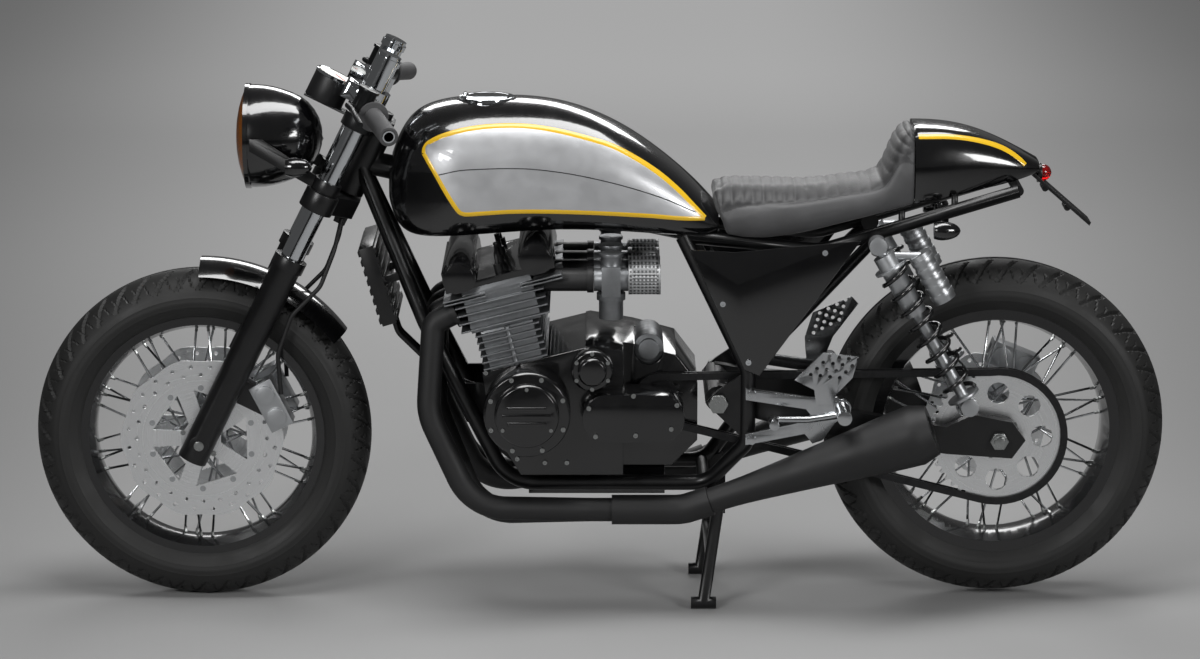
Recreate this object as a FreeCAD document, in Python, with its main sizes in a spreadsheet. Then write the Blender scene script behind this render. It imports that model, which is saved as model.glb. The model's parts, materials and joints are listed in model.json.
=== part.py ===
"""Cafe racer motorcycle: a four-cylinder roadster on spoked wheels.

Millimetres. X points forward, Y to the rider's left, Z up. The origin lies on
the ground under the middle of the machine, which stands on its centre stand.
"""
import FreeCAD, Part
import math
import os
import Sketcher
from FreeCAD import Placement, Rotation, Vector

SIZES = {
    # stance
    "wheelbase": 1455,
    "rake": 26.5,
    "fork_offset": 40,
    "rear_wheel_lift": 8,
    "fit_gap": 0.3,
    "running_gap": 6,
    "overrun": 20,
    # wheels
    "front_tyre_radius": 308,
    "front_tyre_width": 120,
    "rear_tyre_radius": 313,
    "rear_tyre_width": 150,
    "tread_drop": 44,
    "tyre_wall": 11,
    "rim_flange_radius": 228,
    "rim_seat_radius": 214,
    "rim_well_radius": 204,
    "rim_wall": 5,
    "front_rim_half": 44,
    "rear_rim_half": 59,
    "spoke_radius": 2.2,
    "spoke_sweep": 42,
    "front_axle_radius": 9,
    "rear_axle_radius": 10,
    "axle_nut_height": 10,
    "front_hub_radius": 24,
    "front_flange_radius": 42,
    "front_flange_half": 34,
    "rear_hub_radius": 36,
    "rear_flange_radius": 52,
    "rear_flange_half": 42,
    "hub_flange_wall": 6,
    # brakes
    "front_disc_radius": 150,
    "front_disc_inner": 102,
    "front_disc_place": 58,
    "rear_disc_radius": 118,
    "rear_disc_inner": 80,
    "rear_disc_place": 88,
    "disc_wall": 5,
    "disc_wave": 3,
    "disc_hole_radius": 4,
    "disc_carrier_bore": 26,
    "caliper_length": 92,
    "caliper_depth": 44,
    "caliper_width": 46,
    "caliper_slot": 17,
    "front_caliper_angle": 126.5,
    "rear_caliper_angle": 112,
    "piston_radius": 17,
    # fork
    "leg_spacing": 190,
    "fork_tube_radius": 20.5,
    "slider_radius": 27,
    "slider_height": 386,
    "slider_drop": 34,
    "fork_top": 800,
    "lower_clamp_height": 484,
    "lower_clamp_wall": 36,
    "upper_clamp_height": 650,
    "upper_clamp_wall": 26,
    "upper_clamp_margin": 8,
    "clamp_margin": 11,
    "hose_radius": 4,
    "hose_bend": 44,
    "hose_block_height": 16,
    "stem_radius": 15,
    "head_tube_radius": 29,
    "bearing_gap": 5,
    "collar_height": 692,
    "collar_wall": 40,
    # front fender
    "fender_radius": 328,
    "fender_wall": 3,
    "fender_half_width": 62,
    "fender_skirt": 26,
    "fender_reach": 54,
    # bars and controls
    "bar_radius": 11,
    "bar_wall": 2.5,
    "bar_lead": 34,
    "bar_sweep": 17.5,
    "bar_length": 290,
    "grip_radius": 17,
    "grip_flange_radius": 27,
    "grip_length": 124,
    "lever_reach": 46,
    "fluid_can_height": 40,
    "lever_radius": 5,
    # head lamp
    "lamp_radius": 93,
    "lamp_length": 138,
    "lamp_front_x": 643,
    "lamp_height": 860,
    "lens_bulge": 17,
    "rim_ring_wall": 8,
    "ear_wall": 4,
    "ear_bolt_back": 24,
    "gauge_radius": 36,
    "gauge_depth": 52,
    # indicators
    "indicator_radius": 17,
    "indicator_length": 48,
    "indicator_stem_radius": 6,
    "front_indicator_height": 829,
    "front_indicator_place": 150,
    "rear_indicator_place": 130,
    "rear_indicator_x": -624,
    "rear_indicator_drop": 24,
    # frame
    "frame_tube_radius": 14,
    "backbone_radius": 22,
    "downtube_half": 80,
    "downtube_knee_x": 318,
    "downtube_knee_height": 530,
    "cradle_front_x": 168,
    "rail_height": 231,
    "rail_half": 85,
    "rail_rear_x": -196,
    "upright_x": -268,
    "upright_half": 128,
    "upright_low_height": 318,
    "upright_high_height": 452,
    "seat_rail_half": 84,
    "seat_rail_radius": 12,
    "seat_rail_front_x": -150,
    "seat_rail_front_height": 690,
    "seat_rail_end_x": -755,
    "seat_rail_end_height": 773,
    "seat_rail_low_height": 665,
    "seat_rail_low_x": -400,
    "seat_stand_x": -545,
    "cowl_stand_x": -640,
    "cross_tube_radius": 11,
    "rear_cross_lead": 6,
    "pivot_web_wall": 8,
    # swingarm
    "pivot_x": -214,
    "pivot_height": 392,
    "pivot_tube_radius": 23,
    "pivot_bolt_radius": 11,
    "swingarm_inner": 108,
    "swingarm_wall": 22,
    "swingarm_front_inner": 78,
    "swingarm_height": 50,
    "swingarm_end_height": 96,
    # chain
    "chain_place": 94,
    "chain_pitch": 15.875,
    "chain_plate_gap": 9.5,
    "chain_plate_wall": 3,
    "chain_plate_height": 13,
    "roller_radius": 4.6,
    "sprocket_wall": 6,
    "drive_sprocket_x": -108,
    "drive_sprocket_height": 392,
    # rear shocks
    "shock_place": 150,
    "shock_top_x": -498,
    "shock_drop": 8,
    "shock_low_x": -668,
    "shock_low_height": 390,
    "shock_body_radius": 20,
    "spring_radius": 26,
    "spring_wire": 4.5,
    "shock_eye_radius": 16,
    "reservoir_gap": 16,
    "reservoir_radius": 21,
    "reservoir_drop": 50,
    "reservoir_length": 98,
    "reservoir_rib": 1.5,
    # engine
    "crank_x": 131,
    "crank_height": 390,
    "engine_lean": 14,
    "cylinder_pitch": 80,
    "crankcase_half": 150,
    "starter_x": -89,
    "starter_height": 478,
    "starter_radius": 27,
    "starter_half": 62,
    "crankcase_rear_x": -178,
    "crankcase_length": 392,
    "crankcase_height": 215,
    "crankcase_bottom": 262,
    "sump_half": 62,
    "sump_bottom": 214,
    "sump_length": 250,
    "block_low": 80,
    "block_height": 74,
    "block_depth": 96,
    "block_fin_margin": 11,
    "block_half": 150,
    "fin_wall": 2.6,
    "fin_pitch": 12.4,
    "head_height": 82,
    "head_depth": 128,
    "head_fin_margin": 18,
    "head_fin_pitch": 15,
    "stud_radius": 5,
    "head_half": 154,
    "cam_height": 38,
    "cam_saddle": 12,
    "cam_box_depth": 60,
    "cam_back": 10,
    "plug_cap_radius": 8,
    "cam_radius": 27,
    "cam_spacing": 142,
    "cam_half": 172,
    "generator_radius": 78,
    "generator_cap_radius": 58,
    "generator_end": 232,
    "generator_rib": 7,
    "clutch_radius": 92,
    "clutch_end": 214,
    "clutch_x": -36,
    "clutch_height": 366,
    "cover_step": 12,
    "gear_cover_x": 14,
    "gear_cover_height": 462,
    "gear_cover_radius": 38,
    "gear_cover_end": 196,
    "sprocket_cover_front_x": -12,
    "sprocket_cover_height": 378,
    "sprocket_cover_radius": 44,
    "sprocket_cover_end": 200,
    # induction
    "carb_x": -20,
    "carb_height": 618,
    "carb_length": 62,
    "carb_width": 58,
    "carb_body_height": 54,
    "bowl_radius": 22,
    "bowl_drop": 44,
    "tower_radius": 19,
    "tower_height": 28,
    "boot_radius": 21,
    "pod_radius": 27,
    "pod_length": 58,
    "pod_pleat": 2.2,
    "pod_band": 7,
    # exhaust
    "header_radius": 21.5,
    "header_stagger": 10,
    "header_flange": 8,
    "header_place": 154,
    "header_low_height": 198,
    "header_knee_x": 312,
    "header_knee_height": 372,
    "header_turn_x": 232,
    "header_join_x": 20,
    "collector_radius": 27,
    "collector_length": 124,
    "muffler_start_x": -150,
    "muffler_start_height": 198,
    "muffler_end_x": -598,
    "muffler_end_height": 357,
    "muffler_end_place": 194,
    "muffler_end_radius": 55,
    # oil cooler and horn
    "cooler_half": 105,
    "cooler_height": 148,
    "cooler_depth": 34,
    "cooler_lead": 84,
    "cooler_centre_height": 602,
    "cooler_lean": 16.5,
    "cooler_row_step": 4,
    "oil_hose_radius": 6,
    # tank
    "tank_front_x": 382,
    "tank_length": 597,
    "tank_base_height": 690,
    "tank_rise": 243,
    "tank_half_width": 133,
    "tank_tunnel_half": 34,
    "filler_x": 205,
    "filler_radius": 50,
    "lid_radius": 40,
    "lid_wall": 9,
    "knuckle_radius": 4,
    "knuckle_width": 16,
    # seat and tail
    "seat_front_x": -200,
    "seat_length": 368,
    "seat_base_height": 690,
    "seat_rise": 197,
    "seat_half_width": 110,
    "seat_nose_rise": 92,
    "seat_nose_lean": 38,
    "cowl_length": 228,
    "cowl_half_width": 95,
    "tail_lamp_radius": 15,
    "lamp_base_wall": 8,
    "plate_end_x": -891,
    "plate_end_height": 699,
    "plate_arm_width": 60,
    "side_cover_length": 250,
    "side_cover_height": 230,
    # foot controls
    "rearset_place": 158,
    "rearset_wall": 12,
    "peg_x": -437,
    "peg_height": 391,
    "peg_radius": 13,
    "peg_length": 92,
    "pedal_radius": 6,
    "pedal_reach": 124,
    "pedal_drop": 22,
    "guard_wall": 3,
    "guard_hole_radius": 3.6,
    # centre stand
    "stand_pivot_x": -215,
    "stand_pivot_height": 188,
    "stand_place": 115,
    "stand_tube_radius": 11,
    "stand_foot_x": -190,
    "stand_foot_length": 46,
    "stand_pin_radius": 9,
}

# Counts

DISC_ARMS = 5
DISC_WAVES = 10
REAR_TEETH = 48
SPROCKET_WINDOWS = 8
FULL_TURN = 360
DRIVE_TEETH = 16
SPRING_TURNS = 8
RESERVOIR_RIBS = 5
POD_PLEATS = 28
COOLER_ROWS = 8

# Outlines and places, as shares of the sizes that they follow

crown_shares = [(0.56, 0.2), (0.78, 0.42), (0.93, 0.72)]
side_wall_share = 0.75
disc_row_shares = [(0.3, 0), (0.62, 0.5)]
arm_shares = [(0.32, 0.13), (0.14, 0.86), (0.86, 0.86), (0.68, 0.13)]
tooth_rise_share = 0.6
tooth_tip_share = 0.2
lug_height_share = 0.3
lamp_shares = [(0, 0), (0.06, 0.41), (0.22, 0.71), (0.48, 0.9), (0.78, 1), (1, 1)]
hose_shares = [(-0.35, 0.3, 1), (-0.43, 0.72, 0.896), (-0.47, 0.84, 0.75), (-0.31, 0.88, 0.6),
               (-0.37, 0.86, 0.44), (-0.62, 0.74, 0.3)]
hose_ahead_share = 0.39
perch_share = 0.7
tie_share = 0.8
cradle_bend_shares = [4, 6, 4, 2.6, 3.2]
cradle_top_share = 0.45
front_cross_share = 0.47
cross_share = 0.75
nut_share = 1.7
spring_top_share = 0.16
body_end_share = 0.42
bottle_arm_share = 0.45
tank_section_shares = [(0.8, 0), (0.97, 0.12), (1, 0.4), (0.93, 0.68), (0.66, 0.9),
                       (0.3, 0.985), (0, 1)]
tank_station_shares = [
    (0.00, 0.26, 0.53, 0.40), (0.025, 0.10, 0.69, 0.58), (0.07, 0.025, 0.86, 0.76),
    (0.155, 0.015, 0.965, 0.94), (0.305, 0.04, 1.0, 1.0), (0.505, 0.07, 0.967, 1.0),
    (0.705, 0.055, 0.78, 0.965), (0.86, 0.02, 0.51, 0.86), (0.955, 0.01, 0.29, 0.74),
    (1.0, 0.035, 0.16, 0.64)]
seat_section_shares = [(0.9, 0), (1, 0.3), (0.96, 0.66), (0.74, 0.92), (0.36, 0.99), (0, 1)]
seat_station_shares = [
    (0.0, 0.02, 0.44, 0.84), (0.12, 0.0, 0.435, 0.93), (0.3, 0.0, 0.43, 0.98),
    (0.5, 0.065, 0.44, 1.0), (0.7, 0.16, 0.48, 0.99), (0.83, 0.22, 0.54, 0.96),
    (0.915, 0.26, 0.70, 0.93), (0.97, 0.285, 0.93, 0.89), (1.0, 0.3, 0.995, 0.87)]
cowl_station_shares = [
    (0.0, 0.31, 1.0, 0.98), (0.16, 0.34, 0.995, 0.96), (0.42, 0.4, 0.95, 0.86),
    (0.72, 0.47, 0.82, 0.7), (0.92, 0.53, 0.7, 0.54), (1.0, 0.56, 0.65, 0.44)]
tail_lamp_share = 0.52
stand_share = 1.2
crankcase_shares = [(1.0, 0.92), (0.975, 0.62), (0.91, 0.28), (0.82, 0.0), (0.12, 0.0),
                    (0.0, 0.22), (0.0, 0.72), (0.1, 0.96), (0.3, 1.06), (0.5, 1.12)]
starter_cap_share = 0.7
stud_share = 0.6
lead_share = 0.45
post_share = 0.6
rib_shares = [1.2, 1.5, 1.2]
carb_box_share = 0.55
outer_spread_share = 0.3
inner_spread_share = 0.14
inner_drop_share = 0.8
flange_share = 1.3
header_bend_shares = [1.2, 5.2, 4.4, 2.6]
muffler_shares = [(0, 0.42), (0.12, 0.44), (0.3, 0.55), (0.62, 0.79), (0.9, 1.0),
                  (0.97, 0.97), (1.0, 0.84)]
muffler_hollow_shares = [(0.84, 0.5), (0.93, 0.5), (1.02, 0.5)]
cooler_tab_share = 0.76
bracket_shares = [
    (-0.03, 0.195), (0.686, 0.095), (0.947, 0.107), (1.077, 0.024), (1.053, -0.083),
    (0.923, -0.178), (0.793, -0.367), (0.686, -0.402), (0.604, -0.296), (-0.03, -0.42),
    (-0.03, -0.302), (0.58, -0.166), (0.663, -0.083), (0.615, -0.024), (-0.03, 0.077)]
left_guard_shares = [
    (0.49, 0.3), (0.49, 0.302), (0.79, 0.6), (1.17, 0.556), (1.107, 0.325), (0.93, 0.14),
    (0.9, 0.03), (0.72, 0.03), (0.7, 0.19)]
right_guard_shares = [
    (0.692, 0.33), (0.78, 0.61), (1.21, 0.793), (1.284, 0.71), (1.007, 0.338), (0.93, 0.14),
    (0.9, 0.03), (0.72, 0.03), (0.7, 0.19)]
left_hole_shares = [(0.66, 0.36), (0.066, 0.066), (0.103, -0.012)]
right_hole_shares = [(0.79, 0.38), (0.022, 0.075), (0.095, 0.05)]
bolt_shares = [0.14, -0.36]
plate_knob_shares = [0.35, 0.68]
side_cover_shares = [(0.42, 0.98), (0.1, 0.96), (-0.8, 1.05), (-0.08, -0.03), (0.03, 0.02)]

doc = FreeCAD.newDocument("motorcycle")
sheet = doc.addObject("Spreadsheet::Sheet", "Sizes")
for row, (alias, number) in enumerate(SIZES.items(), start=1):
    sheet.set(f"A{row}", alias)
    sheet.set(f"B{row}", str(number))
    sheet.setAlias(f"B{row}", alias)
doc.recompute()

NODES = []
Y_AXIS = Vector(0, 1, 0)
EDGE_CUTOFF = 1e-6


class Size:
    """A size with the expression that ties a property to the sheet."""

    def __init__(self, value, text):
        self.value = value
        self.text = text

    def __float__(self):
        return float(self.value)

    def __add__(self, other):
        return Size(float(self) + float(other), f"({self.text} + {words(other)})")

    def __radd__(self, other):
        return Size(float(other) + float(self), f"({words(other)} + {self.text})")

    def __sub__(self, other):
        return Size(float(self) - float(other), f"({self.text} - {words(other)})")

    def __rsub__(self, other):
        return Size(float(other) - float(self), f"({words(other)} - {self.text})")

    def __mul__(self, other):
        return Size(float(self) * float(other), f"({self.text} * {words(other)})")

    def __rmul__(self, other):
        return Size(float(other) * float(self), f"({words(other)} * {self.text})")

    def __truediv__(self, other):
        return Size(float(self) / float(other), f"({self.text} / {words(other)})")

    def __neg__(self):
        return Size(-float(self), f"(0 - {self.text})")


def words(size):
    """The expression text of a size or of a plain number."""
    return size.text if isinstance(size, Size) else repr(size)


class Sizes:
    """Reads the sheet: sizes.wheelbase is the cell with that alias."""

    def __getattr__(self, alias):
        return Size(float(sheet.get(alias)), f"Sizes.{alias}")


S = Sizes()


def sine(angle):
    return Size(math.sin(math.radians(float(angle))), f"sin({words(angle)})")


def cosine(angle):
    return Size(math.cos(math.radians(float(angle))), f"cos({words(angle)})")


# Places that follow from the driving sizes

front_axle_x = (S.wheelbase + S.rear_tyre_radius - S.front_tyre_radius) / 2
front_axle_z = S.front_tyre_radius
rear_axle_x = front_axle_x - S.wheelbase
rear_axle_z = S.rear_tyre_radius + S.rear_wheel_lift
leg_place = S.leg_spacing / 2
gauge_ahead = S.gauge_radius * 2


def fork_point(ahead, up):
    """World X and Z of a point ahead of a fork leg and up along it."""
    x = front_axle_x + ahead * cosine(S.rake) - up * sine(S.rake)
    z = front_axle_z + ahead * sine(S.rake) + up * cosine(S.rake)
    return x, z


def engine_point(ahead, up):
    """World X and Z of a point ahead of the crank and up along the cylinders."""
    x = S.crank_x + ahead * cosine(S.engine_lean) + up * sine(S.engine_lean)
    z = S.crank_height - ahead * sine(S.engine_lean) + up * cosine(S.engine_lean)
    return x, z


# Helpers that make and place document objects

def bind(thing, **sizes):
    """Ties properties to sizes."""
    for prop, size in sizes.items():
        thing.setExpression(prop, words(size))
    return thing


def place(thing, x=0, y=0, z=0, axis=None, angle=0):
    """Moves an object, with each coordinate tied to its size."""
    turn = Rotation(axis, float(angle)) if axis else Rotation()
    thing.Placement = Placement(Vector(float(x), float(y), float(z)), turn)
    for path, size in (("x", x), ("y", y), ("z", z)):
        if isinstance(size, Size):
            thing.setExpression(f"Placement.Base.{path}", size.text)
    if isinstance(angle, Size):
        thing.setExpression("Placement.Rotation.Angle", angle.text)
    return thing


def on_fork(thing):
    """Moves an object drawn upright on a leg's foot onto the raked fork."""
    return place(thing, front_axle_x, 0, front_axle_z, Vector(0, -1, 0), S.rake)


def on_engine(thing):
    """Moves an object drawn upright on the crank onto the leaning cylinders."""
    return place(thing, S.crank_x, 0, S.crank_height, Y_AXIS, S.engine_lean)


def box(name, x, y, z, length, width, height):
    """A box with its centre at x, y, z."""
    thing = doc.addObject("Part::Box", name)
    bind(thing, Length=length, Width=width, Height=height)
    return place(thing, x - length / 2, y - width / 2, z - height / 2)


TURNS = {"X": (Y_AXIS, 90), "Y": (Vector(-1, 0, 0), 90), "Z": (None, 0)}


def rod(name, along, x, y, z, radius, length):
    """A cylinder that starts at x, y, z and runs along +X, +Y or +Z."""
    thing = doc.addObject("Part::Cylinder", name)
    bind(thing, Radius=radius, Height=length)
    axis, angle = TURNS[along]
    return place(thing, x, y, z, axis, angle)


def fuse(name, *things):
    thing = doc.addObject("Part::MultiFuse", name)
    thing.Shapes = list(things)
    return thing


def cut(name, base, *tools):
    thing = doc.addObject("Part::Cut", name)
    thing.Base = base
    thing.Tool = tools[0] if len(tools) == 1 else fuse(f"{name}_tools", *tools)
    return thing


def common(name, one, other):
    thing = doc.addObject("Part::Common", name)
    thing.Base, thing.Tool = one, other
    return thing


def mirrored(thing):
    """The same object on the rider's right."""
    other = doc.addObject("Part::Mirroring", f"{thing.Name}_right")
    other.Source = thing
    other.Normal = Y_AXIS
    return other


def together(name, *things):
    """Like pieces of one node, as solids that don't touch."""
    thing = doc.addObject("Part::Compound", name)
    thing.Links = list(things)
    return thing


def both_sides(name, thing):
    return together(name, thing, mirrored(thing))


def shaped(name, shape):
    """A plain shape as a document object, with its own place worked in."""
    move = shape.Placement.toMatrix()
    still = shape.copy()
    still.Placement = Placement()
    thing = doc.addObject("Part::Feature", name)
    thing.Shape = still.transformed(move, True)
    thing.Placement = Placement()
    return thing


def shape_of(label):
    """The shape of a finished sub-part."""
    return next(item for item in NODES if item.Label == label).Shape


def node(thing, label):
    """Marks an object as a sub-part that is written to its own file."""
    thing.Label = label
    NODES.append(thing)
    return thing


def sketch_on(body, role, points):
    """A closed sketch of straight lines whose corners are tied to sizes."""
    sketch = body.newObject("Sketcher::SketchObject", f"{body.Name}_sketch")
    plane = next(item for item in body.Origin.OriginFeatures if item.Role == role)
    sketch.AttachmentSupport = [(plane, "")]
    sketch.MapMode = "FlatFace"
    count = len(points)
    spots = [Vector(float(a), float(b), 0) for a, b in points]
    for index in range(count):
        line = Part.LineSegment(spots[index], spots[(index + 1) % count])
        sketch.addGeometry(line, False)
    for index in range(count):
        pair = (index, 2, (index + 1) % count, 1)
        sketch.addConstraint(Sketcher.Constraint("Coincident", *pair))
    for index, pair in enumerate(points):
        for kind, size in zip(("DistanceX", "DistanceY"), pair):
            rule = Sketcher.Constraint(kind, -1, 1, index, 1, float(size))
            number = sketch.addConstraint(rule)
            if isinstance(size, Size):
                sketch.setExpression(f"Constraints[{number}]", size.text)
    return sketch


def round_edges(body, along, radius):
    """Rounds the edges of a body's last feature that run along one direction."""
    doc.recompute()
    base = body.Tip
    names = []
    for number, edge in enumerate(base.Shape.Edges, start=1):
        if edge.Curve.TypeId != "Part::GeomLine":
            continue
        run = edge.tangentAt(edge.FirstParameter)
        if abs(run.dot(along)) > 0.999:
            names.append(f"Edge{number}")
    fillet = body.newObject("PartDesign::Fillet", f"{body.Name}_fillet")
    fillet.Base = (base, names)
    bind(fillet, Radius=radius)
    body.Tip = fillet
    return body


def plate(name, points, y, wall, radius=None):
    """A plate drawn in side view, with its middle at y."""
    body = doc.addObject("PartDesign::Body", name)
    sketch = sketch_on(body, "XZ_Plane", points)
    pad = body.newObject("PartDesign::Pad", f"{name}_pad")
    pad.Profile = sketch
    pad.Midplane = True
    bind(pad, Length=wall)
    if radius is not None:
        round_edges(body, Y_AXIS, radius)
    return place(body, 0, y, 0)


def slab(name, points, z, wall, radius=None):
    """A plate drawn in plan view, with its middle at z."""
    body = doc.addObject("PartDesign::Body", name)
    sketch = sketch_on(body, "XY_Plane", points)
    pad = body.newObject("PartDesign::Pad", f"{name}_pad")
    pad.Profile = sketch
    pad.Midplane = True
    bind(pad, Length=wall)
    if radius is not None:
        round_edges(body, Vector(0, 0, 1), radius)
    return place(body, 0, 0, z)


def turned(name, profile, x=0, y=0, z=0, axis=None, angle=0):
    """A body of revolution about Y, from a profile of (y, radius) corners."""
    body = doc.addObject("PartDesign::Body", name)
    sketch = sketch_on(body, "YZ_Plane", profile)
    turn = body.newObject("PartDesign::Revolution", f"{name}_turn")
    turn.Profile = sketch
    turn.ReferenceAxis = (sketch, ["H_Axis"])
    turn.Angle = FULL_TURN
    return place(body, x, y, z, axis, angle)


def spot(x, y, z):
    return Vector(float(x), float(y), float(z))


def tube_shape(points, radius, bends):
    """A round bar along straight runs joined by tangent arcs."""
    pieces = []
    start = points[0]
    for index in range(1, len(points) - 1):
        corner = points[index]
        back = (points[index - 1] - corner).normalize()
        ahead = (points[index + 1] - corner).normalize()
        half = back.getAngle(ahead) / 2
        bend = float(bends[index - 1])
        reach = bend / math.tan(half)
        first = corner + back * reach
        centre = corner + (back + ahead).normalize() * (bend / math.sin(half))
        pieces.append(bar_shape(start, first, radius))
        disc = Part.Face(Part.Wire(Part.Circle(first, back, float(radius)).toShape()))
        turn = math.degrees(math.pi - half * 2)
        pieces.append(disc.revolve(centre, ahead.cross(back), turn))
        start = corner + ahead * reach
    pieces.append(bar_shape(start, points[-1], radius))
    return pieces[0].fuse(pieces[1:]).removeSplitter()


def bar_shape(start, end, radius):
    run = end - start
    return Part.makeCylinder(float(radius), run.Length, start, run)


def largest(shape):
    return max(shape.Solids, key=lambda solid: solid.Volume)


def flip(shape):
    """A shape mirrored to the rider's right."""
    return shape.mirror(Vector(), Y_AXIS)


def spun_shape(points, base, along):
    """A solid spun from an eased line through (along, radius) points."""
    spots = [Vector(float(a), 0, float(r)) for a, r in points]
    if len(points) > 2:
        curve = Part.BSplineCurve()
        curve.interpolate(spots)
        spots = curve.discretize(Number=len(points) * 2)
    feet = [Vector(spots[-1].x, 0, 0), Vector(spots[0].x, 0, 0)]
    corners = spots + [foot for foot, end in zip(feet, (spots[-1], spots[0]))
                       if end.z > EDGE_CUTOFF]
    face = Part.Face(Part.makePolygon(corners + corners[:1]))
    solid = face.revolve(Vector(), Vector(1, 0, 0), FULL_TURN)
    move = Placement(base, Rotation(Vector(1, 0, 0), along))
    return solid.transformed(move.toMatrix(), True)


# Wheels


def tyre(name, x, z, radius, width, rim_half):
    """A tyre on its rim's seats, hollow inside."""
    bead = rim_half - S.rim_wall - S.fit_gap
    seat = S.rim_seat_radius + S.fit_gap
    wide = radius - S.tread_drop
    flange = S.rim_flange_radius + S.fit_gap
    half = width / 2
    wall = S.tyre_wall
    outer = [(half * along, radius - S.tread_drop * drop) for along, drop in crown_shares]
    outer += [(half, wide), (bead + (half - bead) * side_wall_share, (flange + wide) / 2),
              (bead, flange), (bead, seat)]
    along, drop = crown_shares[1]
    inner = [(bead - wall, seat), (bead - wall, flange), (half - wall, wide),
             (half * along - wall, radius - wall - S.tread_drop * drop)]
    right = outer + inner
    left = [(-y, r) for y, r in reversed(right)]
    profile = [(0, radius)] + right + [(0, radius - wall)] + left
    return node(turned(name, profile, x, 0, z), name)


def rim(name, x, z, half):
    """A drop-centre rim."""
    wall = S.rim_wall
    well = half / 3
    outer = [(-half, S.rim_flange_radius), (wall - half, S.rim_flange_radius),
             (wall - half, S.rim_seat_radius), (-well, S.rim_well_radius),
             (well, S.rim_well_radius), (half - wall, S.rim_seat_radius),
             (half - wall, S.rim_flange_radius), (half, S.rim_flange_radius)]
    inner = [(half, S.rim_seat_radius - wall), (well, S.rim_well_radius - wall),
             (-well, S.rim_well_radius - wall), (-half, S.rim_seat_radius - wall)]
    return node(turned(name, outer + inner, x, 0, z), name)


def spoked_hub(name, x, z, barrel, flange_radius, flange_half, bore, count):
    """A hub with its spokes, which end at the rim's well."""
    hub = turned(f"{name}_barrel", barrel)
    doc.recompute()
    limit = float(S.rim_well_radius - S.rim_wall - S.fit_gap)
    reach = limit + float(S.spoke_radius)
    foot = float(flange_radius - S.spoke_radius * 2)
    spokes = []
    for index in range(count):
        side = 1 if index % 2 else -1
        lead = 1 if index // 2 % 2 else -1
        angle = math.radians(FULL_TURN * index / count)
        swing = math.radians(float(S.spoke_sweep)) * lead
        start_y = side * float(flange_half - S.hub_flange_wall / 2)
        start = Vector(foot * math.sin(angle), start_y, foot * math.cos(angle))
        tip = angle + swing
        end = Vector(reach * math.sin(tip), start_y / 4, reach * math.cos(tip))
        spokes.append(hexagon_bar(start, end, S.spoke_radius))
    whole = hub.Shape.fuse(spokes)
    side = float(S.leg_spacing)
    whole = whole.cut(Part.makeCylinder(float(bore), side * 2, Vector(0, -side, 0), Y_AXIS))
    whole = whole.common(Part.makeCylinder(limit, side * 2, Vector(0, -side, 0), Y_AXIS))
    thing = shaped(name, whole)
    thing.Placement = Placement(spot(x, 0, z), Rotation())
    return node(thing, name)


def hexagon_bar(start, end, radius):
    """A six-sided bar, which keeps a spoke's faces few."""
    run = end - start
    turn = Rotation(Vector(0, 0, 1), run)
    corners = []
    for index in range(7):
        angle = math.radians(60 * index)
        corner = Vector(math.cos(angle), math.sin(angle), 0) * float(radius)
        corners.append(start + turn.multVec(corner))
    return Part.Face(Part.makePolygon(corners)).extrude(run)


def make_wheels():
    tyre("front_tyre", front_axle_x, front_axle_z,
         S.front_tyre_radius, S.front_tyre_width, S.front_rim_half)
    tyre("rear_tyre", rear_axle_x, rear_axle_z,
         S.rear_tyre_radius, S.rear_tyre_width, S.rear_rim_half)
    rim("front_rim", front_axle_x, front_axle_z, S.front_rim_half)
    rim("rear_rim", rear_axle_x, rear_axle_z, S.rear_rim_half)

    half = S.front_flange_half
    inner = half - S.hub_flange_wall
    seat = S.front_disc_place - S.disc_wall / 2 - S.fit_gap
    flange = S.front_flange_radius
    boss = S.disc_carrier_bore + S.hub_flange_wall
    side = [(inner, S.front_hub_radius), (inner, flange), (half, flange),
            (half, boss), (seat, boss), (seat, 0)]
    other = [(-y, r) for y, r in reversed(side)]
    spoked_hub("front_hub", front_axle_x, front_axle_z, other + side,
               flange, half, S.front_axle_radius + S.fit_gap, 40)

    half = S.rear_flange_half
    inner = half - S.hub_flange_wall
    flange = S.rear_flange_radius
    boss = S.disc_carrier_bore + S.hub_flange_wall
    left_seat = S.chain_place - S.sprocket_wall / 2 - S.fit_gap
    right_seat = S.rear_disc_place - S.disc_wall / 2 - S.fit_gap
    left = [(inner, S.rear_hub_radius), (inner, flange), (half, flange),
            (half, flange - S.hub_flange_wall * 2), (left_seat, flange - S.hub_flange_wall * 2),
            (left_seat, 0)]
    right = [(-right_seat, 0), (-right_seat, boss), (-half, boss), (-half, flange),
             (-inner, flange), (-inner, S.rear_hub_radius)]
    spoked_hub("rear_hub", rear_axle_x, rear_axle_z, right + left,
               flange, half, S.rear_axle_radius + S.fit_gap, 40)


def ring_points(centre, radius, sides, wave=0, waves=0):
    """Corners round Y; a wave makes the radius swell and shrink."""
    corners = []
    for index in range(sides + 1):
        angle = index * 2 * math.pi / sides
        reach = float(radius) + float(wave) * math.cos(waves * angle)
        corners.append(centre + Vector(math.cos(angle), 0, math.sin(angle)) * reach)
    return corners


def prism(corners, start_y, wall):
    """A straight prism along Y."""
    face = Part.Face(Part.makePolygon([corner + spot(0, start_y, 0) for corner in corners]))
    return face.extrude(spot(0, wall, 0))


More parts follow.
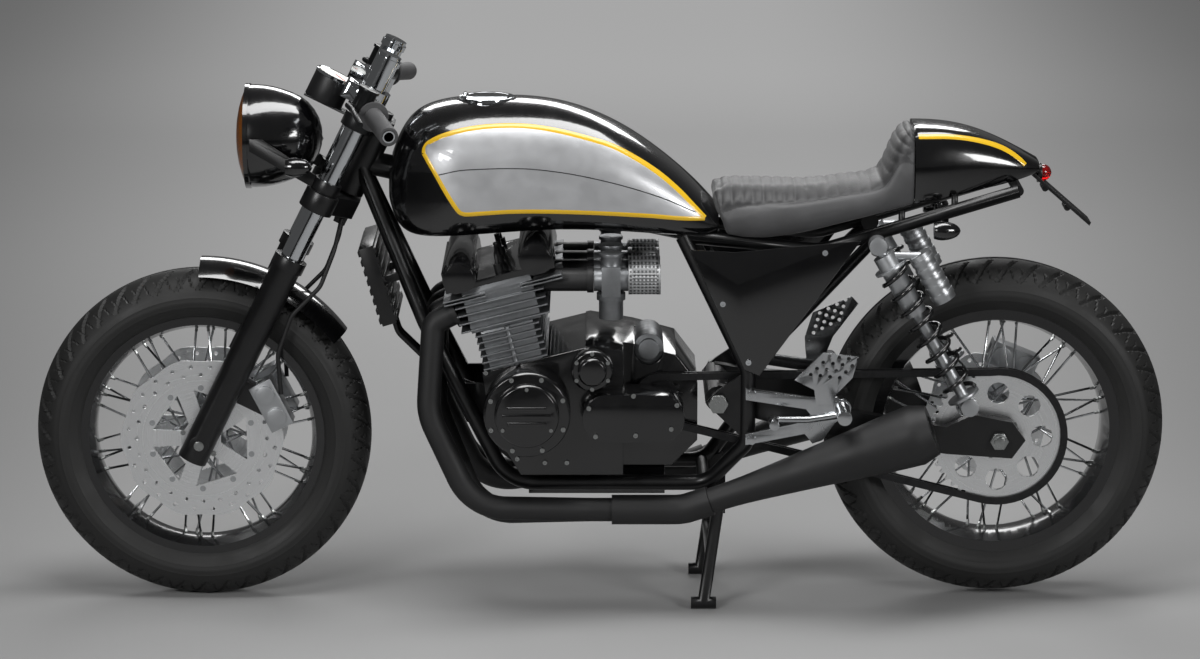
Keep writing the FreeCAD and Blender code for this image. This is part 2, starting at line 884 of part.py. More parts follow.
def disc_shape(radius, inner, holes):
    """A wave disc about Y: a drilled ring on a carrier of arms."""
    wall = float(S.disc_wall)
    start = -wall / 2
    outline = ring_points(Vector(), radius - S.disc_wave, DISC_WAVES * 8, S.disc_wave,
                          DISC_WAVES)
    tools = [prism(ring_points(Vector(), S.disc_carrier_bore, 24), start, wall)]
    band = radius - inner
    for row, shift in disc_row_shares:
        for index in range(holes):
            centre = around(Vector(), inner + band * row + S.disc_wave,
                            FULL_TURN * (index + shift) / holes)
            tools.append(prism(ring_points(centre, S.disc_hole_radius, 6), start, wall))
    reach = inner - S.disc_carrier_bore
    for index in range(DISC_ARMS):
        corners = [around(Vector(), S.disc_carrier_bore + reach * out,
                          FULL_TURN * (index + side) / DISC_ARMS)
                   for side, out in arm_shares]
        tools.append(prism(corners + corners[:1], start, wall))
    return prism(outline, start, wall).cut(tools)


def make_discs():
    left = place(shaped("front_disc", disc_shape(S.front_disc_radius, S.front_disc_inner, 24)),
                 0, S.front_disc_place, 0)
    pair = both_sides("front_disc_pair", left)
    node(place(pair, front_axle_x, 0, front_axle_z), "front_discs")
    rear = shaped("rear_disc", disc_shape(S.rear_disc_radius, S.rear_disc_inner, 18))
    node(place(rear, rear_axle_x, 0 - S.rear_disc_place, rear_axle_z), "rear_disc")


# Chain and sprockets


def pitch_radius(teeth):
    return S.chain_pitch / (2 * math.sin(math.pi / teeth))


def around(centre, radius, degrees):
    """A point round Y from a centre, from +X up to +Z."""
    turn = math.radians(degrees)
    return centre + Vector(math.cos(turn), 0, math.sin(turn)) * float(radius)


def sprocket_shape(teeth, bore, hub=None):
    """A sprocket about Y whose gaps seat the chain's rollers."""
    pitch = float(pitch_radius(teeth))
    seat = float(S.roller_radius + S.fit_gap)
    tip = pitch + float(S.roller_radius) * tooth_rise_share
    step = FULL_TURN / teeth
    spread = math.degrees(seat / pitch)
    flat = step / 2 * tooth_tip_share
    centre = Vector()
    edges = []
    for index in range(teeth):
        angle = step * index
        start = around(centre, pitch, angle - spread)
        end = around(centre, pitch, angle + spread)
        rise = around(centre, tip, angle + step / 2 - flat)
        fall = around(centre, tip, angle + step / 2 + flat)
        again = around(centre, pitch, angle + step - spread)
        bottom = around(centre, pitch - seat, angle)
        edges.append(Part.Arc(start, bottom, end).toShape())
        for first, last in ((end, rise), (rise, fall), (fall, again)):
            edges.append(Part.LineSegment(first, last).toShape())
    blank = Part.Face(Part.Wire(edges)).extrude(spot(0, S.sprocket_wall, 0))
    tools = [Part.makeCylinder(float(bore), float(S.sprocket_wall), Vector(), Y_AXIS)]
    if hub:
        reach = pitch - float(hub)
        for index in range(SPROCKET_WINDOWS):
            centre = around(Vector(), float(hub) + reach / 2, FULL_TURN * index / SPROCKET_WINDOWS)
            tools.append(prism(ring_points(centre, reach / 4, 12), 0, S.sprocket_wall))
    return blank.cut(tools).translated(spot(0, -(S.sprocket_wall / 2), 0))


def wrap_points(centre, teeth, first, last):
    """Roller centres in a sprocket's gaps, out to where the straight runs leave it."""
    step = FULL_TURN / teeth
    radius = pitch_radius(teeth)
    return [around(centre, radius, step * index)
            for index in range(math.floor(first / step), math.ceil(last / step) + 1)]


def spread_between(start, end):
    """Evenly spaced places between two rollers, at about the pitch."""
    run = end - start
    count = round(run.Length / float(S.chain_pitch))
    return [start + run * (index / count) for index in range(1, count)]


def roller_places():
    """Roller centres round the whole loop."""
    rear = spot(rear_axle_x, 0, rear_axle_z)
    drive = spot(S.drive_sprocket_x, 0, S.drive_sprocket_height)
    run = drive - rear
    slope = math.degrees(math.atan2(run.z, run.x))
    fall = float(pitch_radius(REAR_TEETH) - pitch_radius(DRIVE_TEETH))
    lean = math.degrees(math.acos(fall / run.Length))
    high, low = slope + lean, slope - lean
    rear_wrap = wrap_points(rear, REAR_TEETH, high, FULL_TURN + low)
    drive_wrap = wrap_points(drive, DRIVE_TEETH, low, high)
    lower = spread_between(rear_wrap[-1], drive_wrap[0])
    upper = spread_between(drive_wrap[-1], rear_wrap[0])
    return rear_wrap + lower + drive_wrap + upper


def make_chain():
    rollers = roller_places()
    offset = S.chain_plate_height / 2
    loop = Part.makePolygon(rollers + rollers[:1])
    outer = Part.Face(loop.makeOffset2D(float(offset)))
    inner = Part.Face(loop.makeOffset2D(-float(offset)))
    if outer.Area < inner.Area:
        outer, inner = inner, outer
    band = outer.cut(inner)
    wall = float(S.chain_plate_wall)
    half = float(S.chain_plate_gap) / 2
    layers = [band.extrude(Vector(0, wall, 0)).translated(Vector(0, y, 0))
              for y in (half, -half - wall)]
    reach = Vector(0, half + wall / 2, 0)
    pins = [hexagon_bar(point - reach, point + reach, S.roller_radius)
            for point in rollers]
    whole = layers[0].fuse(layers[1:] + pins)
    chain = place(shaped("chain_loop", whole), 0, S.chain_place, 0)

    rear_bore = S.rear_axle_radius + S.hub_flange_wall
    windows_from = S.rear_flange_radius - S.hub_flange_wall * 2
    big = shaped("rear_sprocket", sprocket_shape(REAR_TEETH, rear_bore, windows_from))
    node(place(big, rear_axle_x, S.chain_place, rear_axle_z), "rear_sprocket")
    bore = S.stem_radius
    small = shaped("drive_sprocket", sprocket_shape(DRIVE_TEETH, bore))
    place(small, S.drive_sprocket_x, S.chain_place, S.drive_sprocket_height)
    node(together("chain_group", chain, small), "chain")


# Fork and what turns with it

front_indicator_x = fork_point(S.slider_radius * 2, S.slider_height * 1.4)[0]

def make_fork():
    low = 0 - S.slider_drop
    leg = rod("slider_leg", "Z", 0, leg_place, low, S.slider_radius,
              S.slider_height - low)
    lip = rod("slider_lip", "Z", 0, leg_place, S.slider_height - S.clamp_margin * 2,
              S.slider_radius + S.clamp_margin / 3, S.clamp_margin * 2)
    foot_reach = S.slider_radius - S.clamp_margin / 4
    foot = rod("slider_foot", "Y", 0, leg_place - foot_reach, 0,
               S.front_axle_radius * 2, foot_reach * 2)
    lug_reach = S.front_disc_radius - S.caliper_depth
    lug = box("slider_lug", 0 - lug_reach / 2,
              S.front_disc_place + (S.caliper_width - S.clamp_margin) / 2,
              S.slider_height * lug_height_share, lug_reach, S.clamp_margin,
              S.caliper_depth)
    axle_hole = rod("slider_axle_hole", "Y", 0, 0, 0,
                    S.front_axle_radius + S.fit_gap, S.leg_spacing)
    space = caliper_block("slider_space", S.front_disc_radius, S.front_disc_place,
                          S.front_caliper_angle, S.fit_gap)
    slider = cut("slider_cut", fuse("slider_body", leg, lip, foot, lug), axle_hole, space)
    doc.recompute()
    slider = shaped("slider", largest(slider.Shape))
    node(on_fork(both_sides("sliders", slider)), "fork_sliders")

    tube = rod("fork_tube", "Z", 0, leg_place, S.slider_height + S.fit_gap,
               S.fork_tube_radius, S.fork_top - S.slider_height - S.fit_gap)
    cap = rod("fork_cap", "Z", 0, leg_place, S.fork_top - S.clamp_margin * 1.6,
              S.fork_tube_radius + S.bar_wall, S.clamp_margin)
    node(on_fork(both_sides("tubes", fuse("capped_tube", tube, cap))), "fork_tubes")

    axle = rod("front_axle_bar", "Y", 0, 0 - leg_place - S.slider_radius, 0,
               S.front_axle_radius, S.leg_spacing + S.slider_radius * 2)
    node(place(together("front_axle_group", axle), front_axle_x, 0, front_axle_z),
         "front_axle")


def caliper_block(name, disc_radius, y, angle, margin):
    """The box that a caliper fills, out from the axle and turned to its place."""
    middle = disc_radius + S.running_gap + S.clamp_margin - S.caliper_depth / 2
    block = box(f"{name}_block", middle, y, 0, S.caliper_depth + margin * 2,
                S.caliper_width + margin * 2, S.caliper_length + margin * 2)
    group = together(f"{name}_group", block)
    return place(group, 0, 0, 0, Vector(0, -1, 0), angle)


def caliper_shape(name, disc_radius, y, angle, out):
    """A two-piston caliper, open over its disc; out is +1 or -1 along Y."""
    middle = disc_radius + S.running_gap + S.clamp_margin - S.caliper_depth / 2
    block = box(f"{name}_block", middle, y, 0, S.caliper_depth, S.caliper_width,
                S.caliper_length)
    slot = box(f"{name}_slot", middle - S.clamp_margin, y, 0, S.caliper_depth,
               S.caliper_slot, S.caliper_length + S.overrun)
    caps = []
    for side in (-1, 1):
        start = y + (S.caliper_width / 2 - S.clamp_margin / 2) * out
        if out < 0:
            start = start - S.clamp_margin
        caps.append(rod(f"{name}_cap{side}", "Y", middle, start,
                        S.caliper_length / 4 * side, S.piston_radius, S.clamp_margin))
    body = cut(f"{name}_body", fuse(f"{name}_solid", block, *caps), slot)
    group = together(f"{name}_group", body)
    return place(group, 0, 0, 0, Vector(0, -1, 0), angle)


def make_calipers():
    left = caliper_shape("front_caliper", S.front_disc_radius, S.front_disc_place,
                         S.front_caliper_angle, 1)
    node(on_fork(both_sides("front_caliper_pair", left)), "front_calipers")
    rear = caliper_shape("rear_caliper_one", S.rear_disc_radius,
                         0 - S.rear_disc_place, S.rear_caliper_angle, 1)
    arm = S.caliper_depth / 2
    low = S.rear_axle_radius * 2
    bracket_y = 0 - S.swingarm_inner + S.ear_wall + S.fit_gap
    bracket = plate("rear_bracket", [(0 - low, low), (0 - low, 0 - low), (low, 0 - low),
                                     (low, low), (0, S.rear_disc_radius - arm),
                                     (0 - arm * 3, S.rear_disc_radius - arm)],
                    bracket_y, S.ear_wall * 2)
    hole = rod("rear_bracket_hole", "Y", 0, 0 - S.swingarm_inner - S.overrun, 0,
               S.rear_axle_radius + S.fit_gap, S.swingarm_inner)
    whole = cut("rear_caliper_whole", fuse("rear_caliper_solid", rear, bracket), hole)
    node(place(together("rear_caliper_group", whole), rear_axle_x, 0, rear_axle_z),
         "rear_caliper")


def make_hoses():
    """Brake hoses from a splitter under the lower clamp to both calipers."""
    top = S.lower_clamp_height - S.fit_gap
    block = box("hose_block", 0 - S.fork_offset - S.clamp_margin, 0,
                top - S.hose_block_height / 2, S.clamp_margin * 2, S.leg_spacing / 3,
                S.hose_block_height)
    route = [spot(S.slider_height * hose_ahead_share * ahead, leg_place * left,
                  (top - S.hose_block_height / 2) * up) for ahead, left, up in hose_shares]
    bends = [float(S.hose_bend)] * (len(route) - 2)
    hose = shaped("brake_hose", tube_shape(route, S.hose_radius, bends))
    whole = on_fork(fuse("hose_solid", block, hose, mirrored(hose)))
    doc.recompute()
    node(shaped("hoses", whole.Shape.cut(shape_of("front_calipers"))), "brake_hoses")


def clamp_body(name, low, wall, margin):
    """A triple clamp round both fork tubes."""
    ring = S.fork_tube_radius + margin
    left = rod(f"{name}_ring", "Z", 0, leg_place, low, ring, wall)
    back = (S.clamp_margin - margin) * 2 - S.fork_offset - S.head_tube_radius
    web = [(back, S.head_tube_radius), (S.clamp_margin - ring, leg_place),
           (ring - S.clamp_margin, leg_place), (0, S.head_tube_radius),
           (0, 0 - S.head_tube_radius), (ring - S.clamp_margin, 0 - leg_place),
           (S.clamp_margin - ring, 0 - leg_place), (back, 0 - S.head_tube_radius)]
    bridge = slab(f"{name}_web", web, low + wall / 2, wall)
    bore = rod(f"{name}_bore", "Z", 0, leg_place, low - S.overrun,
               S.fork_tube_radius + S.fit_gap, wall + S.overrun * 2)
    return fuse(f"{name}_solid", left, mirrored(left), bridge), bore


def make_clamps():
    body, bore = clamp_body("lower", S.lower_clamp_height, S.lower_clamp_wall,
                            S.clamp_margin)
    rings = cut("lower_rings", body, bore, mirrored(bore))
    stem_end = S.upper_clamp_height + S.upper_clamp_wall + S.clamp_margin
    stem = rod("stem", "Z", 0 - S.fork_offset, 0, S.lower_clamp_height,
               S.stem_radius, stem_end - S.lower_clamp_height)
    node(on_fork(fuse("lower_with_stem", rings, stem)), "lower_clamp")

    body, bore = clamp_body("upper", S.upper_clamp_height, S.upper_clamp_wall,
                            S.upper_clamp_margin)
    tab = box("gauge_tab", S.gauge_radius, 0, S.upper_clamp_height + S.ear_wall / 2,
              S.gauge_radius * 4, S.gauge_radius, S.ear_wall)
    hole = rod("upper_stem_hole", "Z", 0 - S.fork_offset, 0,
               S.upper_clamp_height - S.overrun, S.stem_radius + S.fit_gap,
               S.upper_clamp_wall + S.overrun * 2)
    rings = cut("upper_rings", fuse("upper_with_tab", body, tab), bore,
                mirrored(bore), hole)
    node(on_fork(together("upper_group", rings)), "upper_clamp")

    gauge = rod("gauge_can", "Z", gauge_ahead, 0,
                S.upper_clamp_height + S.ear_wall + S.fit_gap, S.gauge_radius,
                S.gauge_depth)
    node(on_fork(together("gauge_group", gauge)), "gauge")


def bar_frame(thing):
    """Moves an object drawn along Y from a leg onto its swept bar."""
    return place(thing, S.bar_lead, leg_place, S.collar_height + S.collar_wall / 2,
                 Vector(0, 0, 1), S.bar_sweep)


def make_bars():
    ring = S.fork_tube_radius + S.clamp_margin
    collar = rod("collar", "Z", 0, leg_place, S.collar_height, ring, S.collar_wall)
    bore = rod("collar_bore", "Z", 0, leg_place, S.collar_height - S.overrun,
               S.fork_tube_radius + S.fit_gap, S.collar_wall + S.overrun * 2)
    middle = S.collar_height + S.collar_wall / 2
    knuckle = box("collar_knuckle", S.bar_lead, leg_place, middle,
                  S.bar_radius * 3, S.bar_radius * 4, S.bar_radius * 3)
    bar = rod("bar", "Y", 0, 0, 0, S.bar_radius, S.bar_length)
    inside = rod("bar_inside", "Y", 0, S.bar_radius * 3, 0,
                 S.bar_radius - S.bar_wall, S.bar_length)
    tube = bar_frame(together("bar_group", bar))
    bored = bar_frame(together("bar_bore_group", inside))
    clip = cut("clip_on", fuse("clip_on_body", collar, knuckle, tube), bore, bored)
    node(on_fork(both_sides("clip_on_pair", clip)), "clip_ons")

    start = S.bar_length - S.grip_length
    grip = rod("grip_sleeve", "Y", 0, start, 0, S.grip_radius, S.grip_length - S.fit_gap)
    flange = rod("grip_flange", "Y", 0, start, 0, S.grip_flange_radius, S.bar_radius / 2)
    hollow = rod("grip_hollow", "Y", 0, start - S.overrun, 0,
                 S.bar_radius + S.fit_gap, S.bar_length)
    sleeve = bar_frame(cut("grip", fuse("grip_body", grip, flange), hollow))
    node(on_fork(both_sides("grip_pair", together("grip_group", sleeve))), "grips")

    housing_wall = S.grip_radius * 2
    housing = rod("housing", "Y", 0, start - housing_wall - S.fit_gap, 0,
                  S.grip_flange_radius - S.bar_wall, housing_wall)
    gap = rod("housing_hole", "Y", 0, 0, 0, S.bar_radius + S.fit_gap, S.bar_length)
    switch = bar_frame(cut("housing_cut", housing, gap))

    root_y = start - housing_wall / 2
    root = spot(S.bar_radius * 2, root_y, 0)
    bend = spot(S.lever_reach + S.lever_radius, root_y + S.lever_reach / 4, 0)
    knee = spot(S.lever_reach, start + S.lever_reach / 2, 0)
    tip = spot(S.lever_reach + S.lever_radius * 2, S.bar_length, 0)
    radius = float(S.lever_reach) / 4
    blade = shaped("lever_blade", tube_shape([root, bend, knee, tip], S.lever_radius,
                                             [radius / 2, radius]))
    lever = bar_frame(together("lever_group", blade))
    perch = bar_frame(together("perch_group", box("lever_perch", S.bar_radius * 2, root_y, 0,
                      S.bar_radius * 2, housing_wall * perch_share, S.bar_radius * 2)))
    can = bar_frame(together("can_group", rod("fluid_can", "Z", S.bar_radius * 2, root_y, 0,
                    S.grip_radius, S.fluid_can_height)))
    lid = bar_frame(together("can_lid_group", rod("fluid_can_lid", "Z", S.bar_radius * 2,
                    root_y, S.fluid_can_height - S.bar_wall * 2,
                    S.grip_radius + S.bar_wall, S.bar_wall * 2)))
    control = cut("bar_control", fuse("bar_control_solid", switch, lever, perch, can, lid),
                  bar_frame(together("perch_bore", rod("perch_bore_rod", "Y", 0, 0, 0,
                            S.bar_radius + S.fit_gap, S.bar_length))))
    node(on_fork(both_sides("control_pair", control)), "bar_controls")


def make_fender():
    outer = S.fender_radius
    half = S.fender_half_width
    wall = S.fender_wall
    skirt = S.fender_skirt
    crown = outer
    edge = outer - skirt
    outside = [spot(0, -half, edge), spot(0, 0, crown), spot(0, half, edge)]
    inside = [spot(0, wall - half, edge), spot(0, 0, crown - wall),
              spot(0, half - wall, edge)]
    arc = Part.Arc(*outside).toShape()
    under = Part.Arc(*inside).toShape()
    ends = [Part.LineSegment(outside[0], inside[0]).toShape(),
            Part.LineSegment(outside[2], inside[2]).toShape()]
    face = Part.Face(Part.Wire(Part.__sortEdges__([arc, under] + ends)))
    shell = face.revolve(Vector(), Vector(0, -1, 0), float(S.fender_reach))
    fender = place(shaped("fender_shell", shell), front_axle_x, 0, front_axle_z)
    stay_in = half - wall * 2
    stay_out = leg_place - S.slider_radius - S.fit_gap
    stay = box("fender_stay", 0, (stay_in + stay_out) / 2, outer - skirt + wall * 2,
               S.slider_radius, stay_out - stay_in, wall * 3)
    stays = on_fork(together("fender_stays", stay, mirrored(stay)))
    node(fuse("fender", fender, stays), "front_fender")


def make_lamp():
    radius = S.lamp_radius
    length = S.lamp_length
    back = spot(S.lamp_front_x - length, 0, S.lamp_height)
    points = [(length * a, radius * r) for a, r in lamp_shares]
    shell = spun_shape(points, back, Vector(1, 0, 0))
    ring = bar_shape(back + spot(length - S.rim_ring_wall, 0, 0), back + spot(length, 0, 0),
                     radius + S.rim_ring_wall / 3)
    node(shaped("headlamp_shell", shell.fuse(ring)), "headlamp_shell")
    front = spot(S.lamp_front_x + S.fit_gap, 0, S.lamp_height)
    lens_radius = radius - S.rim_ring_wall / 2
    points = [(0, lens_radius), (S.lens_bulge * 0.7, lens_radius * 0.6), (S.lens_bulge, 0)]
    node(shaped("headlamp_lens", spun_shape(points, front, Vector(1, 0, 0))),
         "headlamp_lens")

    low = S.lower_clamp_height + S.lower_clamp_wall + S.fit_gap
    wall = S.ear_wall
    ring_out = S.fork_tube_radius + S.clamp_margin / 2
    ring = rod("ear_ring", "Z", 0, leg_place, low, ring_out, S.clamp_margin * 2)
    hole = rod("ear_hole", "Z", 0, leg_place, low - S.overrun,
               S.fork_tube_radius + S.fit_gap, S.clamp_margin * 2 + S.overrun * 2)
    ring_on_fork = on_fork(cut("ear_ring_cut", ring, hole))
    bolt_x = S.lamp_front_x - S.ear_bolt_back
    near_x, near_z = fork_point(S.fork_tube_radius + wall / 2, low)
    far_x, far_z = fork_point(S.fork_tube_radius + wall / 2, low + S.clamp_margin * 2)
    reach = S.clamp_margin
    arm = plate("ear_arm", [(near_x, near_z), (bolt_x + reach, S.lamp_height - reach),
                            (bolt_x + reach, S.lamp_height + reach),
                            (bolt_x - reach, S.lamp_height + reach), (far_x, far_z)],
                S.lamp_radius + S.fit_gap + reach / 2 + wall / 2, wall)
    boss = rod("ear_boss", "Y", bolt_x, S.lamp_radius - wall, S.lamp_height,
               reach * 2 / 3, reach / 2 + wall * 3 / 2)
    stem_start = S.lamp_radius + S.fit_gap + reach / 2
    stem = rod("ear_stem", "Y", front_indicator_x, stem_start,
               S.front_indicator_height, S.indicator_stem_radius,
               S.front_indicator_place - S.indicator_radius - stem_start)
    ear = fuse("ear_solid", ring_on_fork, arm, boss, stem)
    doc.recompute()
    ear = shaped("ear", ear.Shape.cut(shape_of("headlamp_shell")))
    node(both_sides("ear_pair", ear), "headlamp_bracket")
    bullet = shaped("front_bullet", bullet_shape(front_indicator_x,
                    S.front_indicator_place + S.fit_gap, S.front_indicator_height))
    node(both_sides("front_bullets", bullet), "front_indicators")


def bullet_shape(x, y, z):
    """A bullet lamp along X with its lens towards the front."""
    half = S.indicator_length / 2
    radius = S.indicator_radius
    points = [(-half, 0), (-half * 0.8, radius * 0.5), (-half * 0.2, radius * 0.9),
              (half * 0.6, radius), (half, radius * 0.86)]
    return spun_shape(points, spot(x, y, z), Vector(1, 0, 0))


# Frame

def cradle_route():
    """The route of a cradle tube: down, under the engine and up behind it."""
    low, high = head_tube_span()
    top_x, top_z = fork_point(0 - S.fork_offset, low + (high - low) * cradle_top_share)
    return [spot(top_x, S.head_tube_radius / 2, top_z),
            spot(S.downtube_knee_x, S.downtube_half, S.downtube_knee_height),
            spot(S.cradle_front_x, S.rail_half, S.rail_height),
            spot(S.rail_rear_x, S.rail_half, S.rail_height),
            spot(S.upright_x, S.upright_half, S.upright_low_height),
            spot(S.upright_x, S.upright_half, S.upright_high_height),
            spot(S.seat_rail_front_x, S.seat_rail_half, S.seat_rail_front_height)]


def front_mount_corners():
    """The plate from a downtube back to the crankcase."""
    rise = S.crankcase_height / 6
    front_x = (S.downtube_knee_x + S.cradle_front_x) / 2
    back_x = S.crank_x + S.head_depth / 3
    z = (S.downtube_knee_height + S.rail_height) / 2
    return [(front_x, z - rise), (front_x + rise, z + rise), (back_x, z + rise),
            (back_x, z - rise)]


def rail_height_at(x):
    """World Z of a seat rail's middle at a place behind its bend."""
    rise = S.seat_rail_end_height - S.seat_rail_low_height
    return S.seat_rail_low_height + rise * ((S.seat_rail_low_x - x)
                                            / (S.seat_rail_low_x - S.seat_rail_end_x))


def shock_top():
    return S.shock_top_x, rail_height_at(S.shock_top_x) - S.shock_drop


def head_tube_span():
    low = S.lower_clamp_height + S.lower_clamp_wall + S.bearing_gap
    return low, S.upper_clamp_height - S.bearing_gap


def make_frame():
    low, high = head_tube_span()
    head = rod("head_tube", "Z", 0 - S.fork_offset, 0, low, S.head_tube_radius, high - low)
    hole = rod("head_bore", "Z", 0 - S.fork_offset, 0, low - S.overrun,
               S.stem_radius + S.fit_gap, high - low + S.overrun * 2)
    head_placed = on_fork(together("head_group", head))
    hole_placed = on_fork(together("head_bore_group", hole))
    top_x, top_z = fork_point(0 - S.fork_offset, (low + high) / 2)
    start = spot(top_x, 0, top_z)
    end = spot(S.seat_rail_front_x, 0, S.seat_rail_front_height)
    spine = shaped("spine", bar_shape(start, end, S.backbone_radius))
    cross = rod("spine_cross", "Y", S.seat_rail_front_x, 0 - S.seat_rail_half,
                S.seat_rail_front_height, S.cross_tube_radius, S.seat_rail_half * 2)
    backbone = cut("backbone", fuse("backbone_solid", head_placed, spine, cross),
                   hole_placed)
    node(backbone, "frame_backbone")
    doc.recompute()

    radius = float(S.frame_tube_radius)
    route = cradle_route()
    tube = tube_shape(route, radius, [radius * k for k in cradle_bend_shares])
    x, z = S.pivot_x, S.pivot_height
    ear = S.pivot_tube_radius
    web = plate("pivot_web", [(S.upright_x, S.upright_low_height), (x, z - ear),
                              (x + ear, z), (x, z + ear),
                              (S.upright_x, S.upright_high_height)],
                S.upright_half, S.pivot_web_wall)
    lug_x, lug_z = S.stand_pivot_x, S.stand_pivot_height
    reach = S.stand_pin_radius + S.stand_tube_radius / 2
    lug = plate("stand_lug", [(lug_x - reach, lug_z - reach), (lug_x + reach, lug_z - reach),
                              (lug_x + reach * 2, S.rail_height),
                              (lug_x - reach, S.rail_height + reach)],
                S.rail_half, S.pivot_web_wall)
    pin_hole = rod("stand_lug_hole", "Y", lug_x, 0, lug_z,
                   S.stand_pin_radius + S.fit_gap, S.upright_half)
    bolt_hole = rod("pivot_hole", "Y", x, 0, z, S.pivot_bolt_radius + S.fit_gap,
                    S.upright_half * 2)
    bar = shaped("cradle_tube", tube)
    front = plate("front_mount", front_mount_corners(), S.downtube_half,
                  S.pivot_web_wall)
    rest = box("rail_mount", S.crank_x - S.head_depth, S.rail_half, S.crankcase_bottom,
               S.head_depth / 4, S.pivot_web_wall, S.rail_height / 4)
    solid = fuse("cradle_solid", bar, web, lug, front, rest)
    trimmed = shaped("backbone_copy", backbone.Shape)
    case = shaped("crankcase_copy", shape_of("crankcase"))
    head_room = rod("head_room", "Z", 0 - S.fork_offset, 0, low, S.head_tube_radius,
                    high - low)
    head_room = on_fork(together("head_room_group", head_room))
    cradle = cut("cradle", solid, pin_hole, bolt_hole, trimmed, case, head_room)
    share = front_cross_share
    cross_x = S.cradle_front_x + (S.downtube_knee_x - S.cradle_front_x) * share
    cross_z = S.rail_height + (S.downtube_knee_height - S.rail_height) * share
    reach = S.downtube_half
    front_cross = rod("front_cross", "Y", cross_x, 0 - reach, cross_z,
                      S.cross_tube_radius * cross_share, reach * 2)
    rear_cross = rod("rear_cross", "Y", S.rail_rear_x + S.rear_cross_lead, 0 - S.rail_half,
                     S.rail_height, S.cross_tube_radius, S.rail_half * 2)
    node(fuse("cradle_pair", cradle, mirrored(cradle), front_cross, rear_cross),
         "frame_cradle")
    doc.recompute()

    rail = shaped("seat_rail", rail_side(1, S.seat_rail_radius))
    top_x, top_z = shock_top()
    low_end = spot(S.upright_x, S.upright_half, S.upright_high_height)
    top_end = spot(top_x, S.seat_rail_half, top_z)
    brace = shaped("seat_brace", bar_shape(low_end, top_end, S.cross_tube_radius))
    boss = rod("shock_boss", "Y", top_x, S.seat_rail_half - S.seat_rail_radius, top_z,
               S.shock_eye_radius,
               S.shock_place - S.shock_eye_radius - S.seat_rail_half + S.seat_rail_radius)
    doc.recompute()
    solid = rail.Shape.fuse([brace.Shape, boss.Shape])
    side = solid.cut([cradle.Shape, backbone.Shape])
    tie = rod("seat_rail_tie", "Y", S.seat_rail_end_x, 0 - S.seat_rail_half,
              S.seat_rail_end_height, S.seat_rail_radius * tie_share, S.seat_rail_half * 2)
    doc.recompute()
    node(shaped("seat_frame", side.fuse([flip(side), tie.Shape])), "seat_rails")


def make_swingarm():
    x, z = S.pivot_x, S.pivot_height
    axle_x, axle_z = rear_axle_x, rear_axle_z
    half = S.swingarm_height / 2
    end = S.swingarm_end_height / 2
    side = plate("swing_side", [(x, z - half), (x, z + half),
                                (axle_x + end * 2, axle_z + half),
                                (axle_x + end, axle_z + end), (axle_x - end / 2, axle_z + end * 0.7),
                                (axle_x - end, axle_z), (axle_x - end / 2, axle_z - end * 0.7),
                                (axle_x + end * 2, axle_z - half)],
                 0, S.swingarm_inner * 4)
    inner, wall = S.swingarm_inner, S.swingarm_wall
    front = S.swingarm_front_inner
    turn_x = S.upright_x - S.frame_tube_radius
    top = slab("swing_plan", [(x + S.pivot_tube_radius, front), (x + S.pivot_tube_radius, front + wall),
                              (turn_x, front + wall), (turn_x - wall * 4, inner + wall),
                              (axle_x - end * 2, inner + wall), (axle_x - end * 2, inner),
                              (turn_x - wall * 4, inner), (turn_x, front)],
               z, S.swingarm_height * 6)
    arm = common("swing_arm", side, top)
    tube = rod("swing_tube", "Y", x, 0 - front - wall, z, S.pivot_tube_radius,
               (front + wall) * 2)
    bolt_hole = rod("swing_bolt_hole", "Y", x, 0 - S.upright_half * 2, z,
                    S.pivot_bolt_radius + S.fit_gap, S.upright_half * 4)
    axle_hole = rod("swing_axle_hole", "Y", axle_x, 0 - S.upright_half * 2, axle_z,
                    S.rear_axle_radius + S.fit_gap, S.upright_half * 4)
    body = fuse("swing_body", arm, mirrored(arm), tube)
    node(cut("swingarm_cut", body, bolt_hole, axle_hole), "swingarm")

    reach = S.upright_half + S.pivot_web_wall
    reach = reach + S.axle_nut_height
    bolt = rod("pivot_bolt", "Y", x, 0 - reach, z, S.pivot_bolt_radius, reach * 2)
    reach = inner + wall + S.overrun
    axle = rod("rear_axle_bar", "Y", axle_x, 0 - reach, axle_z, S.rear_axle_radius,
               reach * 2)
    nuts = []
    for name, bar, place_x, place_z, across, reach in (
            ("pivot", bolt, x, z, S.pivot_bolt_radius, S.upright_half + S.pivot_web_wall),
            ("axle", axle, axle_x, axle_z, S.rear_axle_radius, inner + wall)):
        seat = spot(place_x, reach + S.fit_gap, place_z)
        nut = hexagon_bar(seat, seat + spot(0, S.axle_nut_height, 0), across * nut_share)
        nuts.append(fuse(f"{name}_with_nuts", bar, shaped(f"{name}_nut", nut),
                         shaped(f"{name}_nut_right", flip(nut))))
    node(together("swingarm_axles_group", *nuts), "swingarm_axles")


def spring_shape(height):
    """A coil spring up Z from its lowest turn."""
    radius = float(S.spring_radius)
    wire = float(S.spring_wire)
    helix = Part.makeHelix(height / SPRING_TURNS, height, radius)
    corners = []
    for index in range(7):
        angle = math.radians(60 * index)
        corners.append(Vector(radius + wire * math.cos(angle), 0, wire * math.sin(angle)))
    section = Part.makePolygon(corners)
    return Part.Wire(helix.Edges).makePipeShell([section], True, True)


